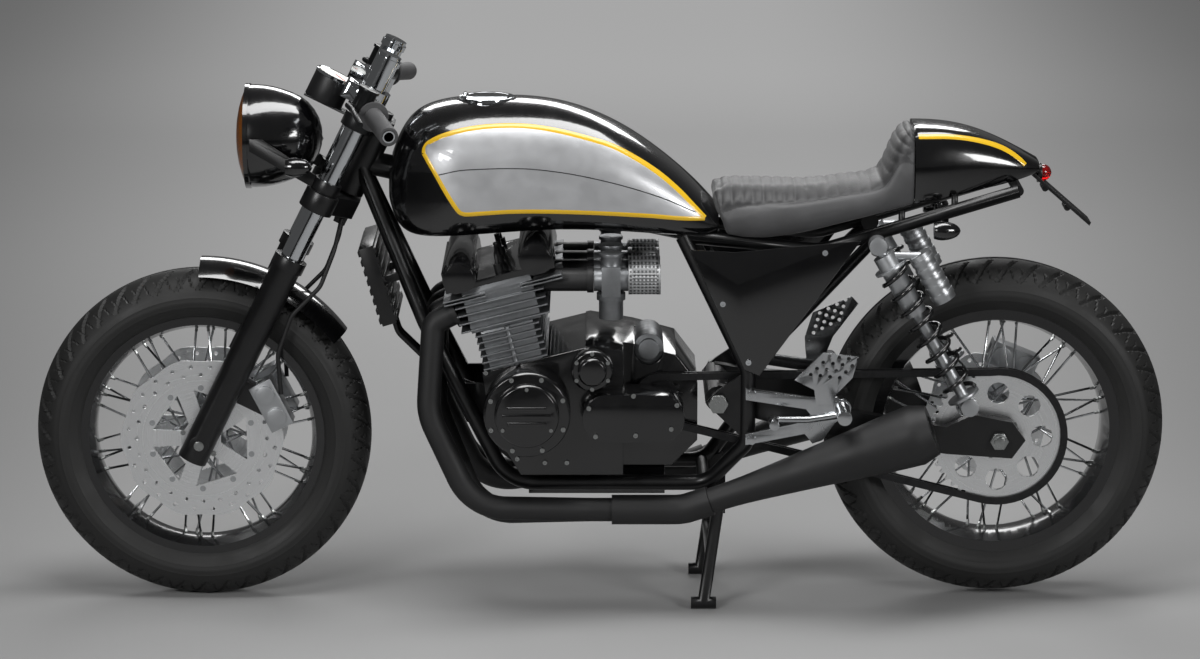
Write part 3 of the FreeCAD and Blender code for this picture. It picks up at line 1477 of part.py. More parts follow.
def make_shocks():
    top_x, top_z = shock_top()
    top = spot(top_x, S.shock_place, top_z)
    low = spot(S.shock_low_x, S.shock_place, S.shock_low_height)
    unit = (low - top).normalize()
    length = (low - top).Length
    eye = float(S.shock_eye_radius)
    wire = float(S.spring_wire)
    across = Vector(0, eye, 0)

    def stretch(first, last, radius):
        return bar_shape(top + unit * first, top + unit * last, radius)

    spring_top = length * spring_top_share
    spring_low = length - eye - wire * 3
    seat = S.spring_radius + S.spring_wire
    gap = wire + float(S.fit_gap)
    parts = [stretch(length * body_end_share, length - eye / 2, S.cross_tube_radius),
             stretch(0, eye * 1.5, eye * 0.6),
             stretch(spring_top - gap - wire, spring_top - gap, seat),
             stretch(spring_low + gap, spring_low + gap + wire, seat)]
    parts += [Part.makeCylinder(eye, eye * 2, at - across, Y_AXIS) for at in (top, low)]
    out = Vector(0, 1, 0).cross(unit)
    out *= float(S.shock_body_radius + S.reservoir_radius + S.reservoir_gap)
    bottle_top = top + unit * float(S.reservoir_drop) + out
    bottle_low = bottle_top + unit * float(S.reservoir_length)
    parts.append(bar_shape(bottle_top, bottle_low, S.reservoir_radius))
    rib = float(S.reservoir_length) / (RESERVOIR_RIBS * 2 + 1)
    for index in range(RESERVOIR_RIBS):
        start = bottle_top + unit * (rib * (index * 2 + 1))
        parts.append(bar_shape(start, start + unit * rib, S.reservoir_radius + S.reservoir_rib))
    parts.append(bar_shape(top + unit * (eye * 1.4), bottle_top + unit * (rib / 2),
                           eye * bottle_arm_share))
    body = stretch(eye * 1.3, length * body_end_share, S.shock_body_radius)
    node(both_sides("shock_pair", shaped("shock", body.fuse(parts))), "shock_bodies")

    spring = spring_shape(spring_low - spring_top)
    spring.Placement = Placement(top + unit * spring_top, Rotation(Vector(0, 0, 1), unit))
    node(both_sides("spring_pair", shaped("spring", spring)), "shock_springs")


# Tank, seat and tail

def section_wire(x, low, high, half, shares):
    """A closed section across X: a smooth arch over a straight base."""
    rise = high - low
    side = [Vector(float(x), float(half) * y, float(low) + float(rise) * z)
            for y, z in shares]
    other = [Vector(p.x, -p.y, p.z) for p in reversed(side[:-1])]
    curve = Part.BSplineCurve()
    curve.interpolate(side + other)
    base = Part.LineSegment(other[-1], side[0])
    return Part.Wire([curve.toShape(), base.toShape()])


def loft_along(stations, x, length, base, rise, half, shares):
    """A loft of sections, each a share of the length, rise and half width."""
    wires = []
    for along, low, high, wide in stations:
        wires.append(section_wire(x - length * along, base + rise * low,
                                  base + rise * high, half * wide, shares))
    return Part.makeLoft(wires, True, False)


def make_tank():
    solid = loft_along(tank_station_shares, S.tank_front_x, S.tank_length,
                       S.tank_base_height, S.tank_rise, S.tank_half_width,
                       tank_section_shares)
    low, high = head_tube_span()
    top_x, top_z = fork_point(0 - S.fork_offset, (low + high) / 2)
    clear = S.backbone_radius + S.running_gap
    tunnel = plate("tank_tunnel", [(top_x, top_z + clear), (top_x, S.tank_base_height - clear),
                                   (S.seat_rail_front_x - S.tank_length, S.tank_base_height - clear),
                                   (S.seat_rail_front_x - S.tank_length, S.seat_rail_front_height + clear),
                                   (S.seat_rail_front_x, S.seat_rail_front_height + clear)],
                   0, S.tank_tunnel_half * 2)
    filler = rod("filler_hole", "Z", S.filler_x, 0, S.tank_base_height + S.tank_rise - S.lid_wall * 2,
                 S.filler_radius, S.tank_rise)
    doc.recompute()
    shell = solid.cut(tunnel.Shape).cut(filler.Shape)
    for label in ("frame_cradle", "frame_backbone", "seat_rails"):
        shell = shell.cut(shape_of(label))
    tank = shaped("tank", largest(shell))
    node(tank, "fuel_tank")

    seat_z = S.tank_base_height + S.tank_rise - S.lid_wall * 2 + S.fit_gap
    ring = rod("filler_ring_out", "Z", S.filler_x, 0, seat_z, S.filler_radius - S.fit_gap,
               S.lid_wall * 2)
    well = rod("filler_ring_in", "Z", S.filler_x, 0, seat_z + S.lid_wall,
               S.lid_radius + S.fit_gap * 4, S.lid_wall * 2)
    hinge_x = S.filler_x + S.lid_radius
    hinge_z = seat_z + S.lid_wall * 2 + S.fit_gap

    def hinge_rod(name, start, length, radius):
        return rod(name, "Y", hinge_x, start, hinge_z, radius, length)

    wide = S.knuckle_width
    gap = S.fit_gap
    room = hinge_rod("ring_knuckle_room", 0 - wide / 2 - gap, wide + gap * 2,
                     S.lid_wall + S.knuckle_radius / 2)
    knuckles = [hinge_rod("ring_knuckle_left", wide / 2 + gap, wide, S.knuckle_radius),
                hinge_rod("ring_knuckle_right", 0 - wide * 1.5 - gap, wide, S.knuckle_radius)]
    pin = hinge_rod("ring_pin", 0 - wide * 1.5, wide * 3, S.knuckle_radius / 2)
    node(fuse("ring_with_pin", cut("ring_open", ring, well, room), pin, *knuckles),
         "filler_ring")
    disc = rod("lid_disc", "Z", S.filler_x, 0, seat_z + S.lid_wall + S.fit_gap,
               S.lid_radius, S.lid_wall)
    rooms = [hinge_rod("lid_room_left", wide / 2, wide * 4, S.knuckle_radius + gap),
             hinge_rod("lid_room_right", 0 - wide * 4.5, wide * 4, S.knuckle_radius + gap)]
    knuckle = hinge_rod("lid_knuckle", 0 - wide / 2, wide, S.knuckle_radius)
    bore = hinge_rod("lid_bore", 0 - wide, wide * 2, S.knuckle_radius / 2 + gap)
    body = cut("lid", fuse("lid_solid", cut("lid_trimmed", disc, *rooms), knuckle), bore)
    node(body, "filler_lid")


def make_seat():
    pad = loft_along(seat_station_shares, S.seat_front_x, S.seat_length,
                     S.seat_base_height, S.seat_rise, S.seat_half_width,
                     seat_section_shares)
    lean = [(S.seat_front_x, S.seat_base_height + S.seat_nose_rise),
            (S.seat_front_x - S.seat_nose_lean, S.seat_base_height - S.seat_nose_rise / 4)]
    (top_x, top_z), (low_x, low_z) = lean
    ahead = plate("seat_nose_room", [(top_x, top_z), (low_x, low_z),
                                     (top_x + S.overrun * 2, low_z),
                                     (top_x + S.overrun * 2, top_z)],
                  0, S.seat_half_width * 3)
    doc.recompute()
    pad = pad.cut(ahead.Shape)
    start = S.seat_front_x - S.seat_length - S.fit_gap
    cowl = loft_along(cowl_station_shares, start, S.cowl_length, S.seat_base_height,
                      S.seat_rise, S.cowl_half_width, seat_section_shares)
    space = rail_space(S.seat_rail_radius + S.fit_gap)
    pad = pad.cut(space)
    pad = pad.cut([shape_of("frame_cradle"), shape_of("frame_backbone")])
    cowl = cowl.cut(space)
    node(shaped("pad", largest(pad)), "seat_pad")
    node(shaped("cowl", largest(cowl)), "tail_cowl")
    tail_x = start - S.cowl_length
    tail_z = tail_lamp_z()
    lamp = spun_shape([(0, S.tail_lamp_radius), (S.tail_lamp_radius * 0.8, S.tail_lamp_radius * 0.8),
                       (S.tail_lamp_radius * 1.2, 0)],
                      spot(tail_x - S.lamp_base_wall - S.fit_gap * 2, 0, tail_z),
                      Vector(-1, 0, 0))
    node(shaped("tail_light", lamp), "tail_lamp")


def tail_lamp_z():
    return S.seat_base_height + S.seat_rise * tail_lamp_share


def rail_side(side, radius):
    """A seat rail with the stands that carry the pad and the cowl."""
    y = S.seat_rail_half * side
    points = [spot(S.seat_rail_front_x, y, S.seat_rail_front_height),
              spot(S.seat_rail_low_x, y, S.seat_rail_low_height),
              spot(S.seat_rail_end_x, y, S.seat_rail_end_height)]
    tube = tube_shape(points, radius, [S.seat_rail_radius * 8])
    wide = float(radius) * 2
    stands = []
    for x in (S.seat_stand_x, S.cowl_stand_x):
        foot = spot(x, y, rail_height_at(x))
        stands.append(bar_shape(foot, foot + Vector(0, 0, wide * stand_share), wide / 4))
    return tube.fuse(stands)


def rail_space(radius):
    """The room that the seat rails and their tie take."""
    start = spot(S.seat_rail_end_x, 0 - S.seat_rail_half, S.seat_rail_end_height)
    end = spot(S.seat_rail_end_x, S.seat_rail_half, S.seat_rail_end_height)
    return rail_side(1, radius).fuse([rail_side(-1, radius), bar_shape(start, end, radius)])


# Engine


def make_engine():
    points = [(S.crankcase_rear_x + S.crankcase_length * a, S.crankcase_bottom + S.crankcase_height * b)
              for a, b in crankcase_shares]
    case = plate("case", points, 0, S.crankcase_half * 2)
    sump = box("sump", S.crank_x - S.sump_length / 2, 0,
               (S.sump_bottom + S.crankcase_bottom) / 2 + S.fit_gap,
               S.sump_length, S.sump_half * 2, S.crankcase_bottom - S.sump_bottom + S.overrun)
    room_x = S.drive_sprocket_x - S.crankcase_length / 2 + S.sprocket_cover_radius * 1.5
    chain_room = box("chain_room", room_x, S.swingarm_front_inner + S.crankcase_half,
                     S.crank_height,
                     S.crankcase_length, S.crankcase_half * 2, S.crankcase_height * 2)
    barrel = on_engine(together("barrel_space", box("barrel_room", 0, 0,
                       S.block_low + S.block_height / 2 + S.fit_gap / 2, S.head_depth * 2,
                       S.head_half * 2, S.block_height)))
    starter_room = rod("starter_room", "Y", S.starter_x, 0 - S.starter_half - S.overrun,
                       S.starter_height, S.starter_radius + S.fit_gap,
                       (S.starter_half + S.overrun) * 2)
    shell = cut("case_cut", fuse("case_solid", case, sump), chain_room, barrel,
                starter_room)
    node(shell, "crankcase")

    half = S.block_half
    core = box("block_core", 0, 0, S.block_low + S.block_height / 2, S.block_depth,
               half * 2, S.block_height - S.fit_gap)
    fins = fin_stack("block_fin", 0, S.block_low + S.fin_pitch / 2, 6, S.fin_pitch,
                     S.block_depth + S.block_fin_margin * 2, half + S.block_fin_margin)
    stud = rod("block_stud", "Z", 0, half + S.stud_radius * stud_share, S.block_low + S.fit_gap,
               S.stud_radius, S.block_height - S.fit_gap * 2)
    node(on_engine(fuse("block", core, stud, mirrored(stud), *fins)), "cylinder_block")

    low = S.block_low + S.block_height
    depth = S.head_depth
    reach = half + S.block_fin_margin
    core = box("head_core", 0, 0, low + S.head_height / 2, depth, half * 2,
               S.head_height - S.fit_gap)
    fins = fin_stack("head_fin", 0, low + S.head_fin_pitch / 2, 4, S.head_fin_pitch,
                     depth + S.head_fin_margin * 2, reach)
    for side in (-1, 1):
        middle = S.cam_spacing / 2 * side - S.cam_back
        fins += fin_stack(f"cam_fin{side + 1}", middle, low + S.head_fin_pitch * 4.2, 2,
                          S.fin_pitch / 2, S.cam_box_depth + S.head_fin_margin, reach)
    node(on_engine(fuse("head", core, *fins)), "cylinder_head")

    low = low + S.head_height
    centre = low + S.cam_height - S.cam_radius / 2
    parts = [box("cam_saddle", 0 - S.cam_back, 0, low + S.cam_saddle / 2, S.cam_spacing,
                 half * 2, S.cam_saddle - S.fit_gap)]
    for side in (-1, 1):
        middle = S.cam_spacing / 2 * side - S.cam_back
        parts.append(box(f"cam_box{side + 1}", middle, 0, low + S.cam_height / 2,
                         S.cam_box_depth, half * 2, S.cam_height - S.fit_gap))
        parts.append(rod(f"cam_pipe{side + 1}", "Y", middle, 0 - S.cam_half, centre,
                         S.cam_radius, S.cam_half * 2))
        parts.append(rod(f"cam_rim{side + 1}", "Y", middle, 0 - half - S.cover_step, centre,
                         S.cam_radius + S.cover_step / 4, (half + S.cover_step) * 2))
    base = box("cam_under", 0, 0, low - S.cam_radius * 2, S.head_depth * 3,
               S.cam_half * 4, S.cam_radius * 4)
    plugs = [rod(f"plug_room{index}", "Z", 0 - S.cam_back, S.cylinder_pitch * (index - 1.5),
                 low - S.overrun, S.plug_cap_radius + S.fit_gap, S.cam_height)
             for index in range(4)]
    body = cut("cam_body", fuse("cam_solid", *parts), base, *plugs)
    node(on_engine(together("cam_group", body)), "cam_cover")
    make_plug_caps(low)

    starter = rod("starter_can", "Y", S.starter_x, 0 - S.starter_half, S.starter_height,
                  S.starter_radius, S.starter_half * 2)
    cap = rod("starter_cap", "Y", S.starter_x, S.starter_half, S.starter_height,
              S.starter_radius * starter_cap_share, S.cover_step)
    doc.recompute()
    body = starter.Shape.fuse(cap.Shape).cut([shell.Shape, shape_of("cylinder_block")])
    node(shaped("starter", largest(body)), "starter_motor")


def make_plug_caps(low):
    """Plug caps in the valley, with leads that meet under the backbone."""
    caps = []
    lead = S.plug_cap_radius * lead_share
    turn = S.plug_cap_radius * 2
    for index in range(4):
        y = S.cylinder_pitch * (index - 1.5)
        cap = rod(f"plug_cap{index}", "Z", 0 - S.cam_back, y, low + S.fit_gap,
                  S.plug_cap_radius, S.cam_height - S.cam_saddle)
        top = low + S.cam_height - S.cam_saddle
        caps.append(cap)
        if abs(index - 1.5) < 1:
            continue
        side = 1 if index > 1 else -1
        route = [spot(0 - S.cam_back, y, top - turn / 2),
                 spot(0 - S.cam_back, y, top + turn),
                 spot(0 - S.cam_back, S.cylinder_pitch / 2 * side, top + turn)]
        caps.append(shaped(f"plug_lead{index}", tube_shape(route, lead, [turn])))
    for side in (-1, 1):
        y = S.cylinder_pitch / 2 * side
        caps.append(rod(f"plug_post{side + 1}", "Z", 0 - S.cam_back, y,
                        low + S.cam_height / 3, S.plug_cap_radius * post_share, S.cam_height))
    node(on_engine(fuse("plug_bank", *caps)), "plug_leads")


def fin_stack(name, x, low, count, pitch, depth, reach):
    """Cooling fins round a core, one above another."""
    return [box(f"{name}_{index}", x, 0, low + pitch * index, depth, reach * 2, S.fin_wall)
            for index in range(count)]


def stepped_cover(name, x, z, radius, cap_radius, end, side):
    """A round engine cover with a raised cap."""
    start = S.crankcase_half + S.fit_gap
    wall = end - start - S.cover_step
    rim_edge = S.cover_step / 3
    profile = [(start, 0), (start, radius), (start + wall - rim_edge, radius),
               (start + wall, radius - rim_edge), (start + wall, cap_radius),
               (end - rim_edge, cap_radius), (end, cap_radius - rim_edge), (end, 0)]
    if side < 0:
        profile = [(-y, r) for y, r in reversed(profile)]
    return turned(name, profile, x, 0, z)


def make_covers():
    generator = stepped_cover("generator", S.crank_x, S.crank_height, S.generator_radius,
                              S.generator_cap_radius, S.generator_end, 1)
    ignition = stepped_cover("ignition", S.crank_x, S.crank_height,
                             S.generator_cap_radius,
                             S.generator_cap_radius - S.cover_step, S.gear_cover_end, -1)
    clutch = stepped_cover("clutch", S.clutch_x, S.clutch_height, S.clutch_radius,
                           S.clutch_radius - S.cover_step * 2, S.clutch_end, -1)
    gear = stepped_cover("gear_cap", S.gear_cover_x, S.gear_cover_height,
                         S.gear_cover_radius, S.gear_cover_radius - S.cover_step,
                         S.gear_cover_end, 1)
    ribs = [box(f"generator_rib{index}", S.crank_x, S.generator_end,
                S.crank_height + S.generator_rib * 2 * (index - 1),
                S.generator_cap_radius * rib_shares[index], S.generator_rib / 2,
                S.generator_rib) for index in range(3)]
    generator = fuse("generator_ribbed", generator, *ribs)
    node(together("right_cover_group", ignition, clutch), "right_covers")
    radius = S.sprocket_cover_radius
    start = S.chain_place + S.chain_plate_gap * 1.5
    wall = S.sprocket_cover_end - start
    front = rod("cover_front", "Y", S.sprocket_cover_front_x, start,
                S.sprocket_cover_height, radius, wall)
    rear = rod("cover_rear", "Y", S.drive_sprocket_x, start,
               S.sprocket_cover_height, radius, wall)
    middle = box("cover_middle", (S.sprocket_cover_front_x + S.drive_sprocket_x) / 2,
                 start + wall / 2, S.sprocket_cover_height,
                 S.sprocket_cover_front_x - S.drive_sprocket_x, wall, radius * 2)
    doc.recompute()
    case = shape_of("crankcase")
    solid = front.Shape.fuse([rear.Shape, middle.Shape])
    solid = solid.cut([case, case.translated(spot(0, S.fit_gap, 0))])
    cover = shaped("sprocket_side_cover", largest(solid))
    node(together("left_cover_group", generator, gear, cover), "left_covers")


def pod_shape(x, y, z):
    """A pleated filter along X between two plain bands."""
    corners = []
    for index in range(POD_PLEATS * 2 + 1):
        angle = index * math.pi / POD_PLEATS
        radius = S.pod_radius if index % 2 else S.pod_radius - S.pod_pleat
        corners.append(spot(x, y + radius * math.cos(angle), z + radius * math.sin(angle)))
    sleeve = Part.Face(Part.makePolygon(corners)).extrude(spot(S.pod_length, 0, 0))
    band = float(S.pod_band)
    ends = [Part.makeCylinder(float(S.pod_radius), band, spot(start, y, z), Vector(1, 0, 0))
            for start in (x, x + S.pod_length - band)]
    return sleeve.fuse(ends)


def make_induction():
    carbs = []
    pods = []
    boots = []
    intake_x, intake_z = engine_point(0 - S.head_depth / 2 - S.head_fin_margin,
                                      S.block_low + S.block_height + S.head_height / 2)
    half = S.carb_length / 2
    for index in range(4):
        y = S.cylinder_pitch * (index - 1.5)
        z = S.carb_height
        body = box(f"carb{index}", S.carb_x, y, z, S.carb_length * carb_box_share,
                   S.carb_width, S.carb_body_height)
        throat = rod(f"throat{index}", "X", S.carb_x - half, y, z, S.boot_radius,
                     S.carb_length)
        bowl = rod(f"bowl{index}", "Z", S.carb_x, y,
                   z - S.carb_body_height / 2 - S.bowl_drop, S.bowl_radius,
                   S.bowl_drop + S.fin_wall)
        lip = rod(f"bowl_lip{index}", "Z", S.carb_x, y,
                  z - S.carb_body_height / 2 - S.cover_step * 3 / 4,
                  S.bowl_radius + S.cover_step / 3, S.cover_step)
        tower = rod(f"tower{index}", "Z", S.carb_x, y, z, S.tower_radius,
                    S.carb_body_height / 2 + S.tower_height - S.cover_step / 2)
        cap = rod(f"tower_cap{index}", "Z", S.carb_x, y,
                  z + S.carb_body_height / 2 + S.tower_height - S.cover_step,
                  S.tower_radius + S.cover_step / 4, S.cover_step / 2)
        carbs += [body, throat, bowl, lip, tower, cap]
        pod_x = S.carb_x - half - S.fit_gap - S.pod_length
        pods.append(shaped(f"pod{index}", pod_shape(pod_x, y, z)))
        start = S.carb_x + half + S.fit_gap
        pipe = rod(f"boot_pipe{index}", "X", start, y, z, S.boot_radius,
                   intake_x - start + S.boot_radius)
        clip = rod(f"boot_clip{index}", "X", start, y, z, S.boot_radius + S.fin_wall,
                   S.cover_step)
        boots.append(fuse(f"boot{index}", pipe, clip))
    shaft = rod("carb_shaft", "Y", S.carb_x, 0 - S.cylinder_pitch * 1.5,
                S.carb_height, S.roller_radius, S.cylinder_pitch * 3)
    node(fuse("carb_bank", shaft, *carbs), "carburettors")
    node(together("pod_bank", *pods), "pod_filters")
    head = shaped("head_copy", shape_of("cylinder_head"))
    block = shaped("block_copy", shape_of("cylinder_block"))
    cover = shaped("cam_copy", shape_of("cam_cover"))
    ends = [cut(f"boot_cut{index}", boot, head, block, cover)
            for index, boot in enumerate(boots)]
    doc.recompute()
    ends = [shaped(f"boot_end{index}", largest(end.Shape))
            for index, end in enumerate(ends)]
    node(together("boot_bank", *ends), "intake_boots")


# Exhaust

def header_port():
    return engine_point(S.head_depth / 2 + S.head_fin_margin + S.fit_gap * 2,
                        S.block_low + S.block_height + S.head_height / 2)


def header_route(y, back, low_drop, spread):
    """A header's route from its port, down and back under the engine."""
    port_x, port_z = header_port()
    return [spot(port_x, y, port_z),
            spot(port_x + S.header_radius * 2, y, port_z - S.header_radius),
            spot(S.header_knee_x - back, y + (S.header_place - y) * spread,
                 S.header_knee_height),
            spot(S.header_turn_x - back, y + (S.header_place - y) * 0.6,
                 S.header_low_height - low_drop),
            spot(S.header_join_x, S.header_place, S.header_low_height),
            spot(S.header_join_x - S.collector_length, S.header_place, S.header_low_height)]


def make_exhaust():
    r = float(S.header_radius)
    outer_route = header_route(S.cylinder_pitch * 1.5, 0, 0, outer_spread_share)
    inner_route = header_route(S.cylinder_pitch / 2, S.header_stagger,
                               S.header_radius * inner_drop_share, inner_spread_share)
    outer, inner = [tube_shape(route, r, [r * k for k in header_bend_shares])
                    for route in (outer_route, inner_route)]
    flanges = []
    for route in (outer_route, inner_route):
        away = (route[1] - route[0]).normalize()
        flanges.append(bar_shape(route[0], route[0] + away * float(S.header_flange),
                                 S.header_radius * flange_share))
    turn = spot(S.muffler_start_x, S.header_place, S.muffler_start_height)
    tip = spot(S.muffler_end_x, S.muffler_end_place, S.muffler_end_height)
    away = (tip - turn).normalize()
    end = turn + away * float(S.collector_radius * 2)
    start = spot(S.header_join_x - S.collector_length / 3, S.header_place, S.header_low_height)
    collector = tube_shape([start, turn, end], S.collector_radius,
                           [S.collector_radius * 3])
    head = shape_of("cylinder_head")
    whole = outer.fuse([inner, collector] + flanges)
    whole = whole.cut([head, shape_of("cylinder_block"), shape_of("cam_cover")])
    left = shaped("header_side", largest(whole))
    node(both_sides("header_pair", left), "headers")

    start = end + away * float(S.fit_gap)
    run = tip - start
    length = run.Length
    points = [(length * a, S.muffler_end_radius * b) for a, b in muffler_shares]
    solid = spun_shape(points, start, run)
    hollow = [(length * a, S.muffler_end_radius * b) for a, b in muffler_hollow_shares]
    solid = solid.cut(spun_shape(hollow, start, run))
    can = shaped("muffler", solid)
    node(both_sides("muffler_pair", can), "mufflers")


# Small pieces on the frame

def make_cooler():
    pitch = S.cooler_height / COOLER_ROWS
    core = box("cooler_core", 0, 0, 0, S.cooler_depth - S.cooler_row_step * 2,
               S.cooler_half * 2, S.cooler_height)
    rows = [box(f"cooler_row{index}", 0, 0, pitch * (index - (COOLER_ROWS - 1) / 2),
                S.cooler_depth, S.cooler_half * 2 - S.cooler_row_step, pitch / 2)
            for index in range(COOLER_ROWS)]
    reach = S.frame_tube_radius * 2
    tab = box("cooler_tab", 0 - S.cooler_depth / 2 - reach / 2,
              S.downtube_half * cooler_tab_share, 0, reach + S.cooler_row_step * 2,
              S.frame_tube_radius, S.frame_tube_radius)
    solid = fuse("cooler_solid", core, tab, mirrored(tab), *rows)
    centre_x = S.downtube_knee_x + S.cooler_lead
    group = place(together("cooler_group", solid), centre_x, 0,
                  S.cooler_centre_height, Y_AXIS, S.cooler_lean)
    low_x = centre_x - S.cooler_height / 2 * sine(S.cooler_lean)
    low_z = S.cooler_centre_height - S.cooler_height / 2 * cosine(S.cooler_lean)
    end_z = S.crank_height - S.cooler_depth
    hoses = []
    for side in (-1, 1):
        y = S.oil_hose_radius * 2 * side
        route = [spot(low_x, y, low_z + S.cooler_row_step),
                 spot(low_x - S.cooler_depth / 3, y, low_z - S.cooler_depth),
                 spot(S.header_knee_x - S.cooler_depth, y, S.header_knee_height + S.cooler_depth),
                 spot(S.crank_x, y, end_z)]
        bend = float(S.cooler_depth)
        hoses.append(tube_shape(route, S.oil_hose_radius, [bend, bend * 1.5]))
    doc.recompute()
    cooler = group.Shape.fuse(hoses)
    cooler = cooler.cut([shape_of("frame_cradle"), shape_of("crankcase")])
    node(shaped("cooler", largest(cooler)), "oil_cooler")


def guard_shape(points, holes, y):
    """A drilled heel guard in side view, with its inner face at y."""
    reach = S.upright_x - S.peg_x

    def at(across, up):
        return spot(S.upright_x - reach * across, 0, S.pivot_height + reach * up)

    corners = [at(*point) for point in points]
    start, step, row = holes
    tools = []
    for line in range(4):
        for index in range(4):
            centre = at(start[0] + step[0] * index + row[0] * line,
                        start[1] + step[1] * index + row[1] * line)
            tools.append(prism(ring_points(centre, S.guard_hole_radius, 8), y, S.guard_wall))
    return prism(corners + corners[:1], y, S.guard_wall).cut(tools)


def make_rearsets():
    reach = S.upright_x - S.peg_x
    points = [(S.upright_x - reach * across, S.pivot_height + reach * up)
              for across, up in bracket_shares]
    web = plate("rearset_web", points, S.rearset_place, S.rearset_wall)
    start = S.upright_half + S.frame_tube_radius + S.fit_gap
    bolt_x = S.upright_x - S.rearset_wall / 2
    ties = [rod(f"rearset_tie{index}", "Y", bolt_x, start, S.pivot_height + reach * up,
                S.rearset_wall * 2 / 3, S.rearset_place - start + S.rearset_wall)
            for index, up in enumerate(bolt_shares)]
    foot = rod("peg", "Y", S.peg_x, S.rearset_place, S.peg_height, S.peg_radius, S.peg_length)
    collar = rod("peg_collar", "Y", S.peg_x, S.rearset_place, S.peg_height,
                 S.peg_radius + S.guard_wall, S.rearset_wall)
    arm_y = S.rearset_place + S.rearset_wall / 2 + S.pedal_radius / 2
    route = [spot(S.peg_x, arm_y, S.peg_height - S.peg_radius),
             spot(S.peg_x + S.pedal_reach / 2, arm_y, S.peg_height - S.pedal_drop),
             spot(S.peg_x + S.pedal_reach, arm_y, S.peg_height - S.pedal_drop)]
    arm = shaped("pedal_arm", tube_shape(route, S.pedal_radius, [S.pedal_reach / 3]))
    toe = rod("pedal_toe", "Y", S.peg_x + S.pedal_reach, arm_y, S.peg_height - S.pedal_drop,
              S.pedal_radius + S.guard_wall, S.peg_length / 2)
    rearset = fuse("rearset", web, foot, collar, arm, toe, *ties)
    guard_y = S.rearset_place + S.rearset_wall / 2 + S.fit_gap
    left = guard_shape(left_guard_shares, left_hole_shares, guard_y)
    right = flip(guard_shape(right_guard_shares, right_hole_shares, guard_y))
    doc.recompute()
    body = rearset.Shape
    room = body.translated(spot(0, S.fit_gap, 0))
    left = largest(left.cut([body, room]))
    right = largest(right.cut([flip(body), flip(room)]))
    node(together("rearset_pair", shaped("rearset_left", body),
                  shaped("rearset_right", flip(body)), shaped("guard_left", left),
                  shaped("guard_right", right)), "rearsets")


def make_stand():
    x, z = S.stand_pivot_x, S.stand_pivot_height
    pin = rod("stand_pin", "Y", x, 0 - S.stand_place, z, S.stand_pin_radius,
              S.stand_place * 2)
    r = S.stand_tube_radius
    leg = shaped("stand_leg", bar_shape(spot(x, S.stand_place, z),
                                        spot(S.stand_foot_x, S.stand_place, r), r))
    foot = rod("stand_foot", "X", S.stand_foot_x - S.stand_foot_length / 2,
               S.stand_place, r, r, S.stand_foot_length)
    bar_x = (S.stand_pivot_x + S.stand_foot_x) / 2
    tie = rod("stand_tie", "Y", bar_x, 0 - S.stand_place, (z + r) / 2, r * 0.9,
              S.stand_place * 2)
    node(fuse("stand", pin, tie, leg, mirrored(leg), foot, mirrored(foot)), "centre_stand")


def make_tail():
    tail_x = S.seat_front_x - S.seat_length - S.fit_gap - S.cowl_length
    start_x = tail_x + S.plate_arm_width / 2
    start_z = tail_lamp_z() + S.tail_lamp_radius
    end_x, end_z = S.plate_end_x, S.plate_end_height
    wall = S.guard_wall
    arm = plate("plate_arm_solid", [(start_x, start_z), (end_x, end_z),
                                    (end_x - wall, end_z + wall * 2),
                                    (start_x - wall, start_z + wall * 2)],
                0, S.plate_arm_width)
    base = rod("lamp_base", "X", tail_x - S.fit_gap - S.lamp_base_wall, 0, tail_lamp_z(),
               S.tail_lamp_radius + wall, S.lamp_base_wall)
    knobs = []
    for index, share in enumerate(plate_knob_shares):
        x = start_x + (end_x - start_x) * share
        z = start_z + (end_z - start_z) * share - wall
        knobs.append(rod(f"plate_knob{index}", "Y", x, 0 - S.plate_arm_width / 3, z,
                         wall * 2, S.plate_arm_width * 2 / 3))
    doc.recompute()
    arm = arm.Shape.fuse([base.Shape] + [knob.Shape for knob in knobs])
    arm = arm.cut([shape_of("tail_cowl"), shape_of("tail_lamp"),
                   rail_space(S.seat_rail_radius + S.fit_gap)])
    node(shaped("plate_arm", largest(arm)), "plate_bracket")
    x = S.rear_indicator_x
    z = rail_height_at(x) - S.rear_indicator_drop
    bullets = shaped("rear_bullet", bullet_shape(x, S.rear_indicator_place, z))
    stem = rod("rear_stem", "Y", x, S.seat_rail_half, z, S.indicator_stem_radius,
               S.rear_indicator_place - S.seat_rail_half)
    hanger = rod("rear_hanger", "Z", x, S.seat_rail_half, z, S.indicator_stem_radius,
                 S.rear_indicator_drop)
    rail = shaped("rail_copy", rail_space(S.seat_rail_radius + S.fit_gap))
    body = cut("rear_indicator", fuse("rear_indicator_solid", bullets, stem, hanger), rail)
    doc.recompute()
    body = shaped("rear_indicator_left", largest(body.Shape))
    node(both_sides("rear_bullets", body), "rear_indicators")
    cover = plate("side_panel", [(S.upright_x + S.side_cover_length * a,
                                  S.upright_high_height + S.side_cover_height * b)
                                 for a, b in side_cover_shares],
                  S.upright_half + S.frame_tube_radius + S.fit_gap + S.guard_wall / 2,
                  S.guard_wall)
    node(both_sides("side_panels", cover), "side_covers")


def main():
    make_wheels()
    make_discs()
    make_chain()
    make_fork()
    make_calipers()
    make_clamps()
    make_hoses()
    make_bars()
    make_fender()
    make_lamp()
    make_engine()
    make_covers()
    make_frame()
    make_swingarm()
    make_shocks()
    make_tank()
    make_seat()
    make_induction()
    make_exhaust()
    make_cooler()
    make_rearsets()
    make_stand()
    make_tail()
    doc.recompute()
    check_and_write()


